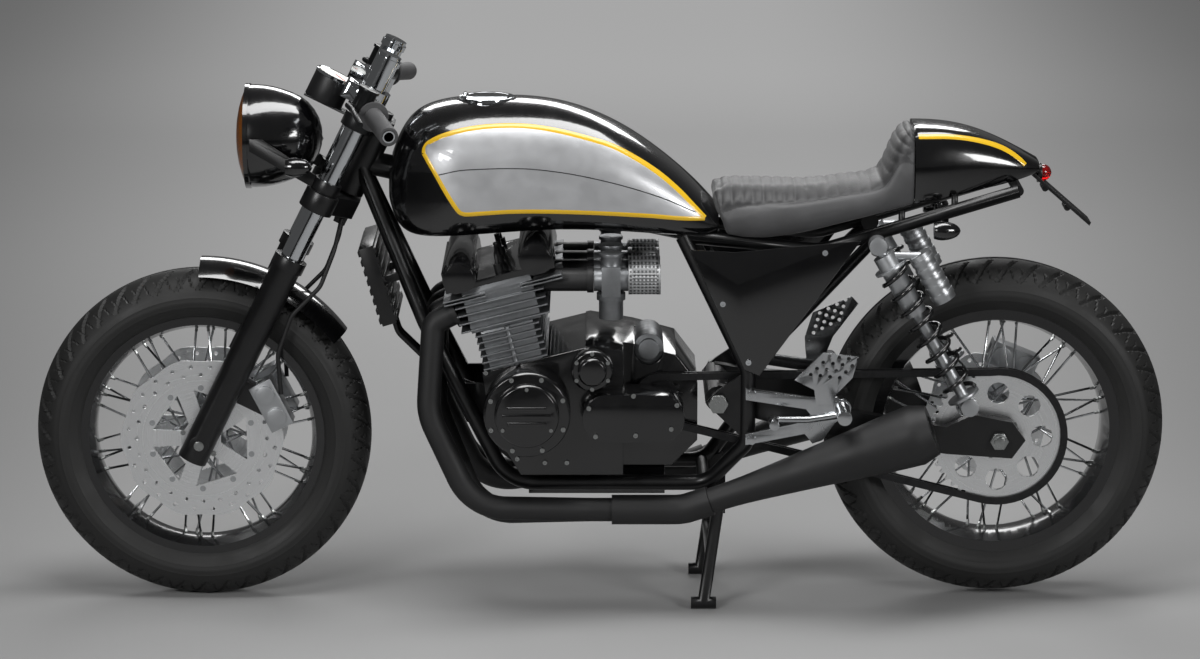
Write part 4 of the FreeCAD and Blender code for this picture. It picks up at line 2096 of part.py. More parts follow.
def check_and_write():
    """Stops on any failed object, then writes each sub-part to its file."""
    for thing in doc.Objects:
        if {"Invalid", "Error"} & set(thing.State):
            raise RuntimeError(f"{thing.Name} failed: {thing.State}")
    os.makedirs("parts", exist_ok=True)
    for thing in NODES:
        shape = thing.Shape
        if shape.isNull() or not shape.isValid():
            raise RuntimeError(f"{thing.Label} has no valid shape")
        shape.exportStep(f"parts/{thing.Label}.step")
        print(f"{thing.Label}: {len(shape.Solids)} solids, {shape.Volume / 1000:.0f} cm3")


main()
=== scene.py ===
"""Cafe racer motorcycle: the finish of every part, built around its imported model."""

import json
import math

import bmesh
import bpy
import numpy as np
from bpy.props import FloatProperty, FloatVectorProperty, IntProperty, PointerProperty
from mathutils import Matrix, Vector
from mathutils.bvhtree import BVHTree


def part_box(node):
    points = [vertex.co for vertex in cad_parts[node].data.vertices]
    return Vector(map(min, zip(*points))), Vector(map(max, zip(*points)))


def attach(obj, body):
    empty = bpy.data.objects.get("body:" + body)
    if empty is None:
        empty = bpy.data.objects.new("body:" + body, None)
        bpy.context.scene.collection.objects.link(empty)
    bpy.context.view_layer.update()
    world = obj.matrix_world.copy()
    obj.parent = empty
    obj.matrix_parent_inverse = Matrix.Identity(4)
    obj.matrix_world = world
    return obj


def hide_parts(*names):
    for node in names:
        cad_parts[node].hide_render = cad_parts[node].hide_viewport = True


bl_info = {
    "name": "Cafe racer",
    "version": (1, 0, 0),
    "blender": (4, 5, 0),
    "location": "View3D > Sidebar > Cafe racer",
    "description": "Dresses a cafe racer motorcycle with its finishes, soft parts and hardware",
    "category": "Add Mesh",
}

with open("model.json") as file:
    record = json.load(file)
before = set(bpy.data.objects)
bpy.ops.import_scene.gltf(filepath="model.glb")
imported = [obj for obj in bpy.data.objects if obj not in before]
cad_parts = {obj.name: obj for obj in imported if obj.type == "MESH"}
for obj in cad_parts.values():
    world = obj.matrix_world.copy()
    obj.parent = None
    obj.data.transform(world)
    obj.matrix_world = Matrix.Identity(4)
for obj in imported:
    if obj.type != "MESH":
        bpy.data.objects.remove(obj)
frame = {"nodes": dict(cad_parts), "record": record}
NODES = frame["nodes"]
BODY_OF = {node: body for body, group in frame["record"]["behaviour"]["bodies"].items()
           for node in group}
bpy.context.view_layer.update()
MM = 0.001
SIDES = (1, -1)

# The places of the wheels, the fork and the crankshaft, in metres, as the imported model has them.
FRONT_AXLE = Vector((0.730, 0, 0.308))
REAR_AXLE = Vector((-0.725, 0, 0.321))
RAKE = math.radians(26.5)
FORK_UP = Vector((-math.sin(RAKE), 0, math.cos(RAKE)))
FORK_AHEAD = Vector((math.cos(RAKE), 0, math.sin(RAKE)))
CRANK = Vector((0.131, 0, 0.390))


# Colour and finish


def srgb(code):
    """A hex colour as linear red, green, blue and alpha."""
    values = [int(code[at:at + 2], 16) / 255 for at in (1, 3, 5)]
    return [v / 12.92 if v <= 0.04045 else ((v + 0.055) / 1.055) ** 2.4 for v in values] + [1.0]


def add(tree, kind, inputs=None, **settings):
    """Adds a node with its settings, values and links."""
    item = tree.nodes.new(kind)
    for name, value in settings.items():
        setattr(item, name, value)
    for key, value in (inputs or {}).items():
        if isinstance(value, bpy.types.NodeSocket):
            tree.links.new(value, item.inputs[key])
        else:
            item.inputs[key].default_value = value
    return item


def blank(name, **sockets):
    """A new material: its tree and its shader, with plain values on the shader's sockets."""
    made = bpy.data.materials.new(name)
    made.use_nodes = True
    tree = made.node_tree
    shader = tree.nodes["Principled BSDF"]
    for key, value in sockets.items():
        shader.inputs[key.replace("_", " ")].default_value = value
    made.diffuse_color = shader.inputs["Base Color"].default_value
    return made, tree, shader


def output(tree, kind, inputs=None, **settings):
    """Adds a node and gives its first output."""
    return add(tree, kind, inputs, **settings).outputs[0]


def vector(tree, operation, first, second=(0, 0, 0), which="Vector"):
    return add(tree, "ShaderNodeVectorMath", {0: first, 1: second},
               operation=operation).outputs[which]


def maths(tree, operation, first, second=0.5):
    return output(tree, "ShaderNodeMath", {0: first, 1: second}, operation=operation)


def scaled(tree, colour, factor):
    """A linear colour made darker or brighter by a socket."""
    return output(tree, "ShaderNodeVectorMath", {0: colour, "Scale": factor}, operation="SCALE")


def object_space(tree):
    return add(tree, "ShaderNodeTexCoord").outputs["Object"]


def noise(tree, place, size, detail):
    """Noise whose patches have a size in millimetres."""
    return output(tree, "ShaderNodeTexNoise", {"Vector": place, "Scale": 1000 / size,
                                              "Detail": detail})


def mixed(tree, factor, first, second):
    """A colour between two hex colours."""
    mix = add(tree, "ShaderNodeMix", {"Factor": factor}, data_type="RGBA")
    mix.inputs[6].default_value = srgb(first)
    mix.inputs[7].default_value = srgb(second)
    return mix.outputs[2]


def mapped(tree, source, low, high, start=0.0, end=1.0, **settings):
    """A socket carried from the range start to end into the range low to high."""
    return output(tree, "ShaderNodeMapRange", {"Value": source, "From Min": start, "From Max": end,
                                              "To Min": low, "To Max": high}, **settings)


def dressed(made, tree, shader, colour, height, depth, strength=1.0, invert=False, **links):
    """Gives a material its relief (depth in millimetres), its links and its plain colour."""
    links["Normal"] = output(tree, "ShaderNodeBump", {"Height": height, "Distance": depth * MM,
                                                     "Strength": strength}, invert=invert)
    for key, source in links.items():
        tree.links.new(source, shader.inputs[key.replace("_", " ")])
    made.diffuse_color = srgb(colour)
    return made


def surface(name, colour, second=None, metallic=0.0, roughness=(0.4, 0.5), patch=30, grain=1.0,
            height=0.02, detail=3, coat=0.0, coat_roughness=0.03):
    """A finish with a slow change of colour and gloss, and a fine grain in its surface.

    patch and grain are sizes in millimetres, and height is the grain's depth in millimetres."""
    made, tree, shader = blank(name, Base_Color=srgb(colour), Metallic=metallic, IOR=1.5,
                               Coat_Weight=coat, Coat_Roughness=coat_roughness)
    place = object_space(tree)
    slow = noise(tree, place, patch, 4)
    links = {"Base_Color": mixed(tree, slow, colour, second)} if second else {}
    return dressed(made, tree, shader, colour, noise(tree, place, grain, detail), height,
                   Roughness=mapped(tree, slow, *roughness, 0.3, 0.7), **links)


def leather(name, colour, pebble=1.6):
    """Grained leather: pebbles with pores between them, and a slow change of tone from wear."""
    made, tree, shader = blank(name, IOR=1.45, Sheen_Weight=0.15, Sheen_Roughness=0.4)
    place = object_space(tree)
    cells = output(tree, "ShaderNodeTexVoronoi", {"Vector": place, "Scale": 1000 / pebble,
                                                 "Randomness": 0.9}, feature="SMOOTH_F1")
    slow = noise(tree, place, 60, 5)
    tone = scaled(tree, srgb(colour)[:3], mapped(tree, slow, 0.86, 1.18, 0.35, 0.75))
    return dressed(made, tree, shader, colour, cells, 0.35, 0.6, True, Base_Color=tone,
                   Roughness=mapped(tree, slow, 0.42, 0.62))


def turned_metal(name, colour, centre, pitch=1.2, roughness=0.3):
    """Metal ground in circles about a wheel's axle, which streaks its gloss round the disc."""
    made, tree, shader = blank(name, Base_Color=srgb(colour), Metallic=1.0, Roughness=roughness)
    moved = vector(tree, "SUBTRACT", object_space(tree), centre)
    radius = vector(tree, "LENGTH", vector(tree, "MULTIPLY", moved, (1, 0, 1)), which="Value")
    rings = output(tree, "ShaderNodeTexNoise", {"W": radius, "Scale": 1000 / pitch, "Detail": 3},
                  noise_dimensions="1D")
    return dressed(made, tree, shader, colour, rings, 0.05,
                   Roughness=mapped(tree, rings, roughness - 0.1, roughness + 0.12))


def lens(name, colour, roughness=0.12):
    """Moulded lens plastic: tinted, half clear, with faint moulding ripples."""
    made, tree, shader = blank(name, Base_Color=srgb(colour), Roughness=roughness, IOR=1.49,
                               Transmission_Weight=0.75, Coat_Weight=0.4)
    return dressed(made, tree, shader, colour, noise(tree, object_space(tree), 3, 2), 0.06)


def gauze(name, colour, pitch=1.1):
    """Woven filter gauze: dark gaps between crossing wires."""
    made, tree, shader = blank(name, Metallic=0.6, Roughness=0.5)
    place = object_space(tree)
    waves = [add(tree, "ShaderNodeTexWave", {"Vector": place, "Scale": 1000 / pitch / 20},
                 bands_direction=way).outputs["Fac"] for way in "XZ"]
    weave = maths(tree, "MAXIMUM", *waves)
    return dressed(made, tree, shader, colour, weave, 0.4,
                   Base_Color=mixed(tree, weave, "#2b2b2c", colour))


FINISH = {
    # Sprayed lacquer under clear coat: a sharp reflection with a trace of orange peel.
    "gloss_lacquer": surface("gloss_black_lacquer", "#060607", roughness=(0.16, 0.22),
                             grain=9, height=0.012, detail=1, coat=1.0),
    # Metallic lacquer: fine flake under clear coat.
    "silver_lacquer": surface("silver_metallic_lacquer", "#b9babc", "#c4c5c7", metallic=0.6,
                              roughness=(0.34, 0.42), grain=0.9, height=0.006, coat=0.8),
    "stripe_lacquer": surface("yellow_line_lacquer", "#d9ac12", "#e2b61d",
                              roughness=(0.3, 0.36), grain=4, height=0.01, coat=0.6),
    "line_lacquer": surface("dark_line_lacquer", "#1b1b1c", roughness=(0.3, 0.4), height=0.01),
    # Baked powder coat: an even satin with a fine texture.
    "powder_coat": surface("satin_black_powder_coat", "#070708", "#0b0b0c",
                           roughness=(0.3, 0.4), grain=1.4, height=0.02),
    # Heat-proof paint: matt, slightly chalky where it has been hot.
    "heat_paint": surface("matt_black_heat_paint", "#0c0c0d", "#161617",
                          roughness=(0.5, 0.62), patch=70, grain=0.8, height=0.03),
    # Engine paint over a sand casting: satin with the casting's grain under it.
    "engine_paint": surface("black_engine_paint", "#070708", "#0d0d0e",
                            roughness=(0.14, 0.24), grain=4, height=0.03, coat=0.6,
                            coat_roughness=0.08),
    # Sand-cast alloy, cleaned: pale, dull, grained.
    "cast_alloy": surface("sand_cast_aluminium", "#8e9092", "#6f7173", metallic=0.9,
                          roughness=(0.38, 0.55), patch=18, grain=1.6, height=0.09),
    # Buffed alloy: bright, with soft haze.
    "buffed_alloy": surface("buffed_aluminium", "#c3c5c7", "#acaeb0", metallic=1.0,
                            roughness=(0.16, 0.28), patch=25, grain=2.5, height=0.012),
    "satin_alloy": surface("bead_blasted_aluminium", "#b4b6b8", "#a3a5a7", metallic=0.95,
                           roughness=(0.36, 0.46), patch=25, grain=0.7, height=0.02),
    # Hard chrome on steel: near a mirror.
    "chrome": surface("bright_chrome_plate", "#cdd0d3", metallic=1.0,
                      roughness=(0.05, 0.1), grain=20, height=0.004, detail=1),
    "zinc_steel": surface("zinc_plated_steel", "#a6a8a7", "#8d8f8e", metallic=1.0,
                          roughness=(0.24, 0.36), patch=8, grain=0.8, height=0.01),
    "dark_steel": surface("oiled_dark_steel", "#3c3c3d", "#272728", metallic=0.9,
                          roughness=(0.32, 0.46), patch=9, grain=0.8, height=0.02),
    "spring_coat": surface("black_spring_lacquer", "#0b0b0c", roughness=(0.2, 0.26),
                           grain=4, height=0.01, coat=0.5),
    "black_anodised": surface("black_anodised_aluminium", "#18191a", "#1f2021", metallic=0.6,
                              roughness=(0.32, 0.4), grain=0.6, height=0.01),
    # Vulcanised rubber: dull, greyed by use.
    "tyre_rubber": surface("tyre_rubber", "#121212", "#1a1a19", roughness=(0.5, 0.68),
                           patch=60, grain=1.1, height=0.06),
    "soft_rubber": surface("moulded_grip_rubber", "#3d3d3e", "#484849",
                           roughness=(0.55, 0.7), grain=0.9, height=0.04),
    "black_rubber": surface("black_hose_rubber", "#101011", roughness=(0.5, 0.6),
                            grain=1.2, height=0.03),
    "black_plastic": surface("black_moulded_plastic", "#0e0e0f", roughness=(0.38, 0.5),
                             grain=1.0, height=0.03),
    # Grained leather, darker where it is sewn into ribs, smoother and paler on the sides.
    "leather_top": leather("ribbed_grey_leather", "#303031"),
    "leather_side": leather("smooth_grey_leather", "#4a4a4b", 1.1),
    "dial_card": surface("printed_dial_card", "#e9e8e2", roughness=(0.5, 0.6), height=0.004),
    "dial_print": surface("dial_print", "#101010", roughness=(0.5, 0.6), height=0.004),
    "disc_front": turned_metal("ground_disc_steel_front", "#e6e7e8", FRONT_AXLE),
    "disc_rear": turned_metal("ground_disc_steel_rear", "#e6e7e8", REAR_AXLE),
    "amber": lens("amber_lens", "#e08a1c"),
    "red": lens("red_lens", "#b51414"),
    "clear": lens("clear_glass", "#e9e9e6", 0.05),
    "gauze": gauze("steel_filter_gauze", "#9a9b9c"),
}


# Meshes


def linked(name, mesh):
    """A new object in the scene."""
    piece = bpy.data.objects.new(name, mesh)
    bpy.context.scene.collection.objects.link(piece)
    return piece


def new_piece(name, mesh, body, finish, replaces=(), slot=None, angle=32):
    """Links a finished mesh as a piece of the machine and gives it its body and finish."""
    return finish_piece(linked(name, mesh), body, finish, replaces, angle)


def finish_piece(piece, body, finish, replaces=(), angle=32):
    """Smooths a mesh up to an edge angle, paints it and lets it ride on its body."""
    if finish:
        piece.data.materials.clear()
        piece.data.materials.append(FINISH[finish])
    if angle:
        piece.data.polygons.foreach_set("use_smooth", [True] * len(piece.data.polygons))
        piece.data.set_sharp_from_angle(angle=math.radians(angle))
    piece.data.update()
    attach(piece, body)
    if replaces:
        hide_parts(*replaces)
    return piece


def mesh_of(name, verts, faces, outward=True):
    """A mesh from points in metres, its doubles merged and its faces turned outwards."""
    mesh = bpy.data.meshes.new(name)
    mesh.from_pydata([tuple(v) for v in verts], [], faces)
    if outward:
        tidy(mesh)
    return mesh


def tidy(mesh, distance=1e-5):
    work = bmesh.new()
    work.from_mesh(mesh)
    bmesh.ops.remove_doubles(work, verts=work.verts, dist=distance)
    bmesh.ops.recalc_face_normals(work, faces=work.faces)
    work.to_mesh(mesh)
    work.free()
    mesh.update()


def merged(node, flat=0.6):
    """A copy of a node's mesh with its points merged and its flat facets joined."""
    work = bmesh.new()
    work.from_mesh(NODES[node].data)
    bmesh.ops.remove_doubles(work, verts=work.verts, dist=2e-5)
    bmesh.ops.dissolve_limit(work, angle_limit=math.radians(flat), verts=work.verts,
                             edges=work.edges)
    mesh = bpy.data.meshes.new(node + "_skin")
    work.to_mesh(mesh)
    work.free()
    return mesh


def skin(node, finish, bevel=0.0, angle=30):
    """Dresses a node as it stands, with the softened edges that a real part has."""
    piece = linked(node + "_skin", merged(node))
    if bevel:
        soften(piece, bevel)
    return finish_piece(piece, BODY_OF[node], finish, (node,), angle)


def dress(*rows):
    """Skins several nodes: a row is a node, its finish, and its bevel and angle if it has them."""
    for row in rows:
        skin(*row)


def modify(piece, kind, **settings):
    """Adds a modifier with its settings."""
    modifier = piece.modifiers.new(kind.lower(), kind)
    for key, value in settings.items():
        setattr(modifier, key, value)
    return modifier


def soften(piece, width):
    """Rounds the sharp edges of a mesh; width in millimetres."""
    modify(piece, "BEVEL", width=width * MM, segments=2, limit_method="ANGLE",
           angle_limit=math.radians(32), use_clamp_overlap=True)
    bake(piece)


def bake(piece):
    """Turns a piece's modifiers into its plain mesh."""
    graph = bpy.context.evaluated_depsgraph_get()
    graph.update()
    mesh = bpy.data.meshes.new_from_object(piece.evaluated_get(graph))
    piece.modifiers.clear()
    piece.data = mesh
    return piece


def basis(axis, side=None):
    """Three square directions whose last is the axis."""
    w = Vector(axis).normalized()
    u = Vector(side) if side is not None else Vector((0, 0, 1)).cross(w)
    u = u - w * u.dot(w)
    if u.length < 1e-6:
        u = Vector((1, 0, 0)) - w * w.x
    u.normalize()
    return u, w.cross(u), w


def lathe(profile, centre, axis, steps=64, closed=False):
    """Points and faces of a profile (along, radius) in millimetres, turned about an axis."""
    u, v, w = basis(axis)
    centre = Vector(centre)
    verts, rings = [], []
    for along, radius in profile:
        if radius < 1e-6:
            rings.append([len(verts)] * steps)
            verts.append(centre + w * along * MM)
            continue
        rings.append(list(range(len(verts), len(verts) + steps)))
        for step in range(steps):
            turn = 2 * math.pi * step / steps
            verts.append(centre + w * along * MM
                         + (u * math.cos(turn) + v * math.sin(turn)) * radius * MM)
    faces = []
    pairs = list(zip(rings, rings[1:] + (rings[:1] if closed else [])))
    for first, second in pairs[:len(rings) if closed else len(rings) - 1]:
        for step in range(steps):
            after = (step + 1) % steps
            face = [first[step], first[after], second[after], second[step]]
            face = [p for at, p in enumerate(face) if p != face[at - 1]]
            if len(set(face)) > 2:
                faces.append(face)
    return verts, faces


def turned(name, profile, centre, axis, body, finish, steps=64, closed=False, **more):
    """A lathe's form as a piece."""
    mesh = mesh_of(name, *lathe(profile, centre, axis, steps, closed))
    return new_piece(name, mesh, body, finish, **more)


def smooth_path(points, steps=8):
    """A smooth run through points, as evenly spaced places along a spline."""
    points = [Vector(p) for p in points]
    ends = [points[0] * 2 - points[1]] + points + [points[-1] * 2 - points[-2]]
    found = []
    for a, b, c, d in zip(ends, ends[1:], ends[2:], ends[3:]):
        for step in range(steps):
            t = step / steps
            found.append(0.5 * ((2 * b) + (c - a) * t + (2 * a - 5 * b + 4 * c - d) * t * t
                                + (3 * b - a - 3 * c + d) * t ** 3))
    return found + [points[-1]]


def swept(path, radius, sides=12):
    """Points and faces of a round bar that follows a path, its ends closed."""
    verts, rings = [], []
    previous = None
    for at, point in enumerate(path):
        ahead = path[min(at + 1, len(path) - 1)] - path[max(at - 1, 0)]
        u, v, _ = basis(ahead, previous)
        previous = u
        rings.append(list(range(len(verts), len(verts) + sides)))
        for side in range(sides):
            turn = 2 * math.pi * side / sides
            verts.append(point + u * math.cos(turn) * radius + v * math.sin(turn) * radius)
    faces = [[first[s], first[(s + 1) % sides], second[(s + 1) % sides], second[s]]
             for first, second in zip(rings, rings[1:]) for s in range(sides)]
    faces += [rings[0][::-1], rings[-1]]
    return verts, faces


def joined(parts):
    """Several sets of points and faces as one."""
    verts, faces = [], []
    for some, sides in parts:
        start = len(verts)
        verts += list(some)
        faces += [[p + start for p in face] for face in sides]
    return verts, faces


# Paint and hardware that lie on a surface


def solid_of(node):
    """What rays are cast at: the mesh of a node."""
    mesh = NODES[node].data
    return BVHTree.FromPolygons([v.co.copy() for v in mesh.vertices],
                                [list(face.vertices) for face in mesh.polygons])


def seat_on(solid, x, z, side):
    """Where a line along Y first meets a surface from one side, and the way it faces there."""
    place, normal, _, _ = solid.ray_cast(Vector((x, side * 0.6, z)), Vector((0, -side, 0)))
    if place is None:
        raise RuntimeError(f"nothing lies at {x:.3f}, {z:.3f}")
    return place, normal


def eased(points, steps=12):
    """A smooth closed or open line through (x, z) points in millimetres, in metres."""
    return [(p.x, p.z) for p in smooth_path([Vector((x, 0, z)) * MM for x, z in points], steps)]


def facing(verts, faces, turned_over):
    """Points and faces, with the faces turned over where that is asked."""
    return verts, [face[::-1] for face in faces] if turned_over else faces


def ribbon(solid, line, half, lift, side):
    """Points and faces of a painted line, thick in its middle, laid on a surface."""
    verts = []
    for at, (x, z) in enumerate(line):
        ahead = Vector(line[min(at + 1, len(line) - 1)]) - Vector(line[max(at - 1, 0)])
        ahead.normalize()
        for across, rise in ((-1, 0.0), (-0.6, 1.0), (0.6, 1.0), (1, 0.0)):
            place, normal = seat_on(solid, x - ahead.y * half * across, z + ahead.x * half * across,
                                    side)
            verts.append(place + normal * lift * (0.15 + rise))
    count = len(line)
    faces = [[4 * a + k, 4 * a + k + 1, 4 * a + k + 5, 4 * a + k + 4]
             for a in range(count - 1) for k in range(3)]
    return facing(verts, faces, side > 0)


def painted_field(solid, upper, lower, lift, side, columns=150, rows=44):
    """Points and faces of a field of paint between two lines over the same stretch of X."""
    upper, lower = (np.array(sorted(line)) for line in (upper, lower))
    start, end = max(upper[0, 0], lower[0, 0]), min(upper[-1, 0], lower[-1, 0])
    depth = np.zeros((columns + 1, rows + 1))
    verts = np.zeros((columns + 1, rows + 1, 3))
    for i, x in enumerate(start + (end - start) * np.linspace(0.001, 0.999, columns + 1)):
        low, high = np.interp(x, lower[:, 0], lower[:, 1]), np.interp(x, upper[:, 0], upper[:, 1])
        for j, z in enumerate(low + (high - low) * np.linspace(0, 1, rows + 1)):
            place, normal = seat_on(solid, x, z, side)
            place = place + normal * lift
            verts[i, j] = place
            depth[i, j] = place.y
    for _ in range(12):
        depth[1:-1, 1:-1] += (depth[:-2, 1:-1] + depth[2:, 1:-1] + depth[1:-1, :-2]
                              + depth[1:-1, 2:] - 4 * depth[1:-1, 1:-1]) * 0.2
    verts[..., 1] = side * np.maximum(side * depth, side * verts[..., 1])
    wide = rows + 1
    faces = [[i * wide + j, i * wide + j + 1, (i + 1) * wide + j + 1, (i + 1) * wide + j]
             for i in range(columns) for j in range(rows)]
    return facing(verts.reshape(-1, 3).tolist(), faces, side < 0)


# Repeats, made by node trees


def grow_tree(name, sockets, form):
    """A tree that puts a form on each point, turned by the point's own directions.

    sockets lists each input's label, kind and default, and form adds the nodes that give the
    form's geometry and its rotation."""
    tree = bpy.data.node_groups.new(name, "GeometryNodeTree")
    face = tree.interface
    for label, kind, value in [("Geometry", "Geometry", None), *sockets,
                               ("Material", "Material", None)]:
        made = face.new_socket(label, in_out="INPUT", socket_type="NodeSocket" + kind)
        if value is not None:
            made.default_value = value
    face.new_socket("Geometry", in_out="OUTPUT", socket_type="NodeSocketGeometry")
    source = add(tree, "NodeGroupInput").outputs
    geometry, rotation = form(tree, source)
    points = output(tree, "GeometryNodeMeshToPoints", {"Mesh": source["Geometry"]})
    many = output(tree, "GeometryNodeInstanceOnPoints", {"Points": points, "Instance": geometry,
                                                        "Rotation": rotation})
    real = output(tree, "GeometryNodeRealizeInstances", {"Geometry": many})
    add(tree, "NodeGroupOutput", {"Geometry": output(tree, "GeometryNodeSetMaterial", {
        "Geometry": real, "Material": source["Material"]})})
    return tree


def direction(tree, word):
    """A direction that each point carries under a name."""
    return output(tree, "GeometryNodeInputNamedAttribute", {"Name": word},
                  data_type="FLOAT_VECTOR")


def screw_form(tree, source):
    """A round or cornered head with a six-sided socket in its top, standing on its point."""
    height = source["Head height"]
    lift = output(tree, "ShaderNodeCombineXYZ", {"Z": maths(tree, "MULTIPLY", height)})
    head, socket = (output(tree, "GeometryNodeMeshCylinder", {
        "Vertices": sides, "Radius": source[radius], "Depth": height})
        for sides, radius in ((source["Head sides"], "Head radius"), (6, "Socket radius")))
    sunk = output(tree, "GeometryNodeTransform", {"Geometry": socket, "Translation": lift})
    bored = output(tree, "GeometryNodeMeshBoolean", {"Mesh 1": head, "Mesh 2": sunk},
                  operation="DIFFERENCE")
    raised = output(tree, "GeometryNodeTransform", {"Geometry": bored, "Translation": lift})
    return raised, output(tree, "FunctionNodeAlignRotationToVector",
                         {"Vector": direction(tree, "outward")}, axis="Z")


def copy_form(tree, source):
    """Another object's mesh, turned by the outward and along directions."""
    piece = add(tree, "GeometryNodeObjectInfo", {"Object": source["Piece"]})
    return piece.outputs["Geometry"], output(tree, "FunctionNodeAxesToRotation", {
        "Primary Axis": direction(tree, "outward"), "Secondary Axis": direction(tree, "along")},
        primary_axis="Z", secondary_axis="X")


TREES = {
    "screws": grow_tree("Screw heads", [("Head radius", "Float", 0.005),
                                        ("Head height", "Float", 0.004),
                                        ("Socket radius", "Float", 0.002),
                                        ("Head sides", "Int", 20)], screw_form),
    "copies": grow_tree("Copies on points", [("Piece", "Object", None)], copy_form),
}


def point_cloud(name, places):
    """An object whose points carry their outward and along directions."""
    mesh = mesh_of(name, [place[0] for place in places], [], False)
    for word, at in (("outward", 1), ("along", 2)):
        if len(places[0]) > at:
            held = mesh.attributes.new(word, "FLOAT_VECTOR", "POINT")
            held.data.foreach_set("vector", [c for place in places for c in place[at]])
    return linked(name, mesh)


def grown(name, places, tree, values, body, finish, angle=32):
    """Runs a tree on points and keeps the result as one plain piece."""
    cloud = point_cloud(name, places)
    group = TREES[tree]
    modifier = modify(cloud, "NODES", node_group=group)
    named = {item.name: item.identifier for item in group.interface.items_tree
             if item.item_type == "SOCKET" and item.in_out == "INPUT"}
    for key, value in dict(values, Material=FINISH[finish]).items():
        modifier[named[key]] = value
    bake(cloud)
    cloud.name = name
    for word in ("outward", "along"):
        if word in cloud.data.attributes:
            cloud.data.attributes.remove(cloud.data.attributes[word])
    return finish_piece(cloud, body, finish, angle=angle)


def screws(name, places, radius, height, body, finish="zinc_steel", sides=20):
    """Screw or bolt heads, their sizes in millimetres, each at a place facing outwards."""
    return grown(name, places, "screws",
                 {"Head radius": radius * MM, "Head height": height * MM, "Head sides": sides,
                  "Socket radius": radius * 0.45 * MM}, body, finish)


def copies(name, places, piece_mesh, body, finish, angle=32):
    """Copies of one small mesh, each at a place with an outward and an along direction."""
    source = linked(name + "_source", piece_mesh)
    made = grown(name, places, "copies", {"Piece": source}, body, finish, angle)
    bpy.data.objects.remove(source)
    return made


# Sizes and colours that a user may change


class MachineSettings(bpy.types.PropertyGroup):
    tread_depth: FloatProperty(name="Tread depth", description="Depth of the tyres' grooves",
                               default=0.0045, min=0.001, max=0.008, unit="LENGTH")
    tread_pitch: IntProperty(name="Tread blocks", description="Groove pairs round each tyre",
                             default=44, min=12, max=80)
    seat_ribs: IntProperty(name="Seat ribs", description="Sewn ribs across the seat",
                           default=22, min=4, max=40)
    stripe_width: FloatProperty(name="Stripe width", description="Width of the tank's line",
                                default=0.0082, min=0.002, max=0.02, unit="LENGTH")
    floor_colour: FloatVectorProperty(name="Floor", description="Colour of the floor",
                                      default=srgb("#9a9a9a")[:3], subtype="COLOR", size=3,
                                      min=0, max=1)
    lens_length: FloatProperty(name="Camera lens", description="Focal length in millimetres",
                               default=122.4, min=20, max=300)


# Stage

FLOOR_HALF = 40.0
WORLD_GREY, WORLD_STRENGTH = "#8f8f8f", 0.32
CAMERA_TARGET, CAMERA_RISE, CAMERA_REACH = Vector((0, 0, 0.499)), math.radians(12.5), 7.5
# Each lamp: its place, its aim, its width and height, and its power in watts.
LAMPS = {
    "overhead": ((-0.2, 0.3, 3.4), (0, 0, 0.5), (3.4, 1.1), 105),
    "front_left": ((2.6, 4.2, 2.4), (0.2, 0, 0.5), (1.3, 1.3), 95),
    "rear_left": ((-3.2, 3.4, 1.9), (-0.2, 0, 0.5), (1.2, 1.2), 70),
    "behind": ((0.0, -3.6, 2.6), (0, 0, 0.6), (3.2, 1.0), 60),
}


def aimed(thing, name, place, aim):
    """A lamp or camera, placed and turned to look at its aim."""
    held = linked(name, thing)
    held.location = place
    held.rotation_euler = (Vector(aim) - Vector(place)).to_track_quat("-Z", "Y").to_euler()
    return held


def floor_paper_with_painted_light(colour):
    """Matt paper with painted light: a glow that only the camera sees, growing with distance from
    the centre so the paper looks lit further out than the lamps reach, as a sweep is, and painted
    shade towards both ends along X.
    """
    made, tree, shader = blank("backdrop_paper_painted_glow_and_shade", Roughness=0.9,
                               Emission_Color=srgb("#ffffff"))
    seen = add(tree, "ShaderNodeLightPath").outputs["Is Camera Ray"]
    spot = object_space(tree)
    far = vector(tree, "LENGTH", spot, which="Value")
    across = maths(tree, "ABSOLUTE", output(tree, "ShaderNodeSeparateXYZ", {"Vector": spot}))
    # Painted light: an emitted glow, seen only by the camera, that brightens the paper further from
    # the centre.
    glow = mapped(tree, far, 0.0, 0.34, 1.2, 6.5, interpolation_type="SMOOTHSTEP")
    # Painted shade: the paper's colour and its glow are darkened towards both ends along X.
    edge = mapped(tree, across, 1.0, 0.35, 0.5, 2.4, interpolation_type="SMOOTHSTEP")
    tree.links.new(scaled(tree, colour, edge), shader.inputs["Base Color"])
    tree.links.new(maths(tree, "MULTIPLY", maths(tree, "MULTIPLY", seen, glow), edge),
                   shader.inputs["Emission Strength"])
    return made


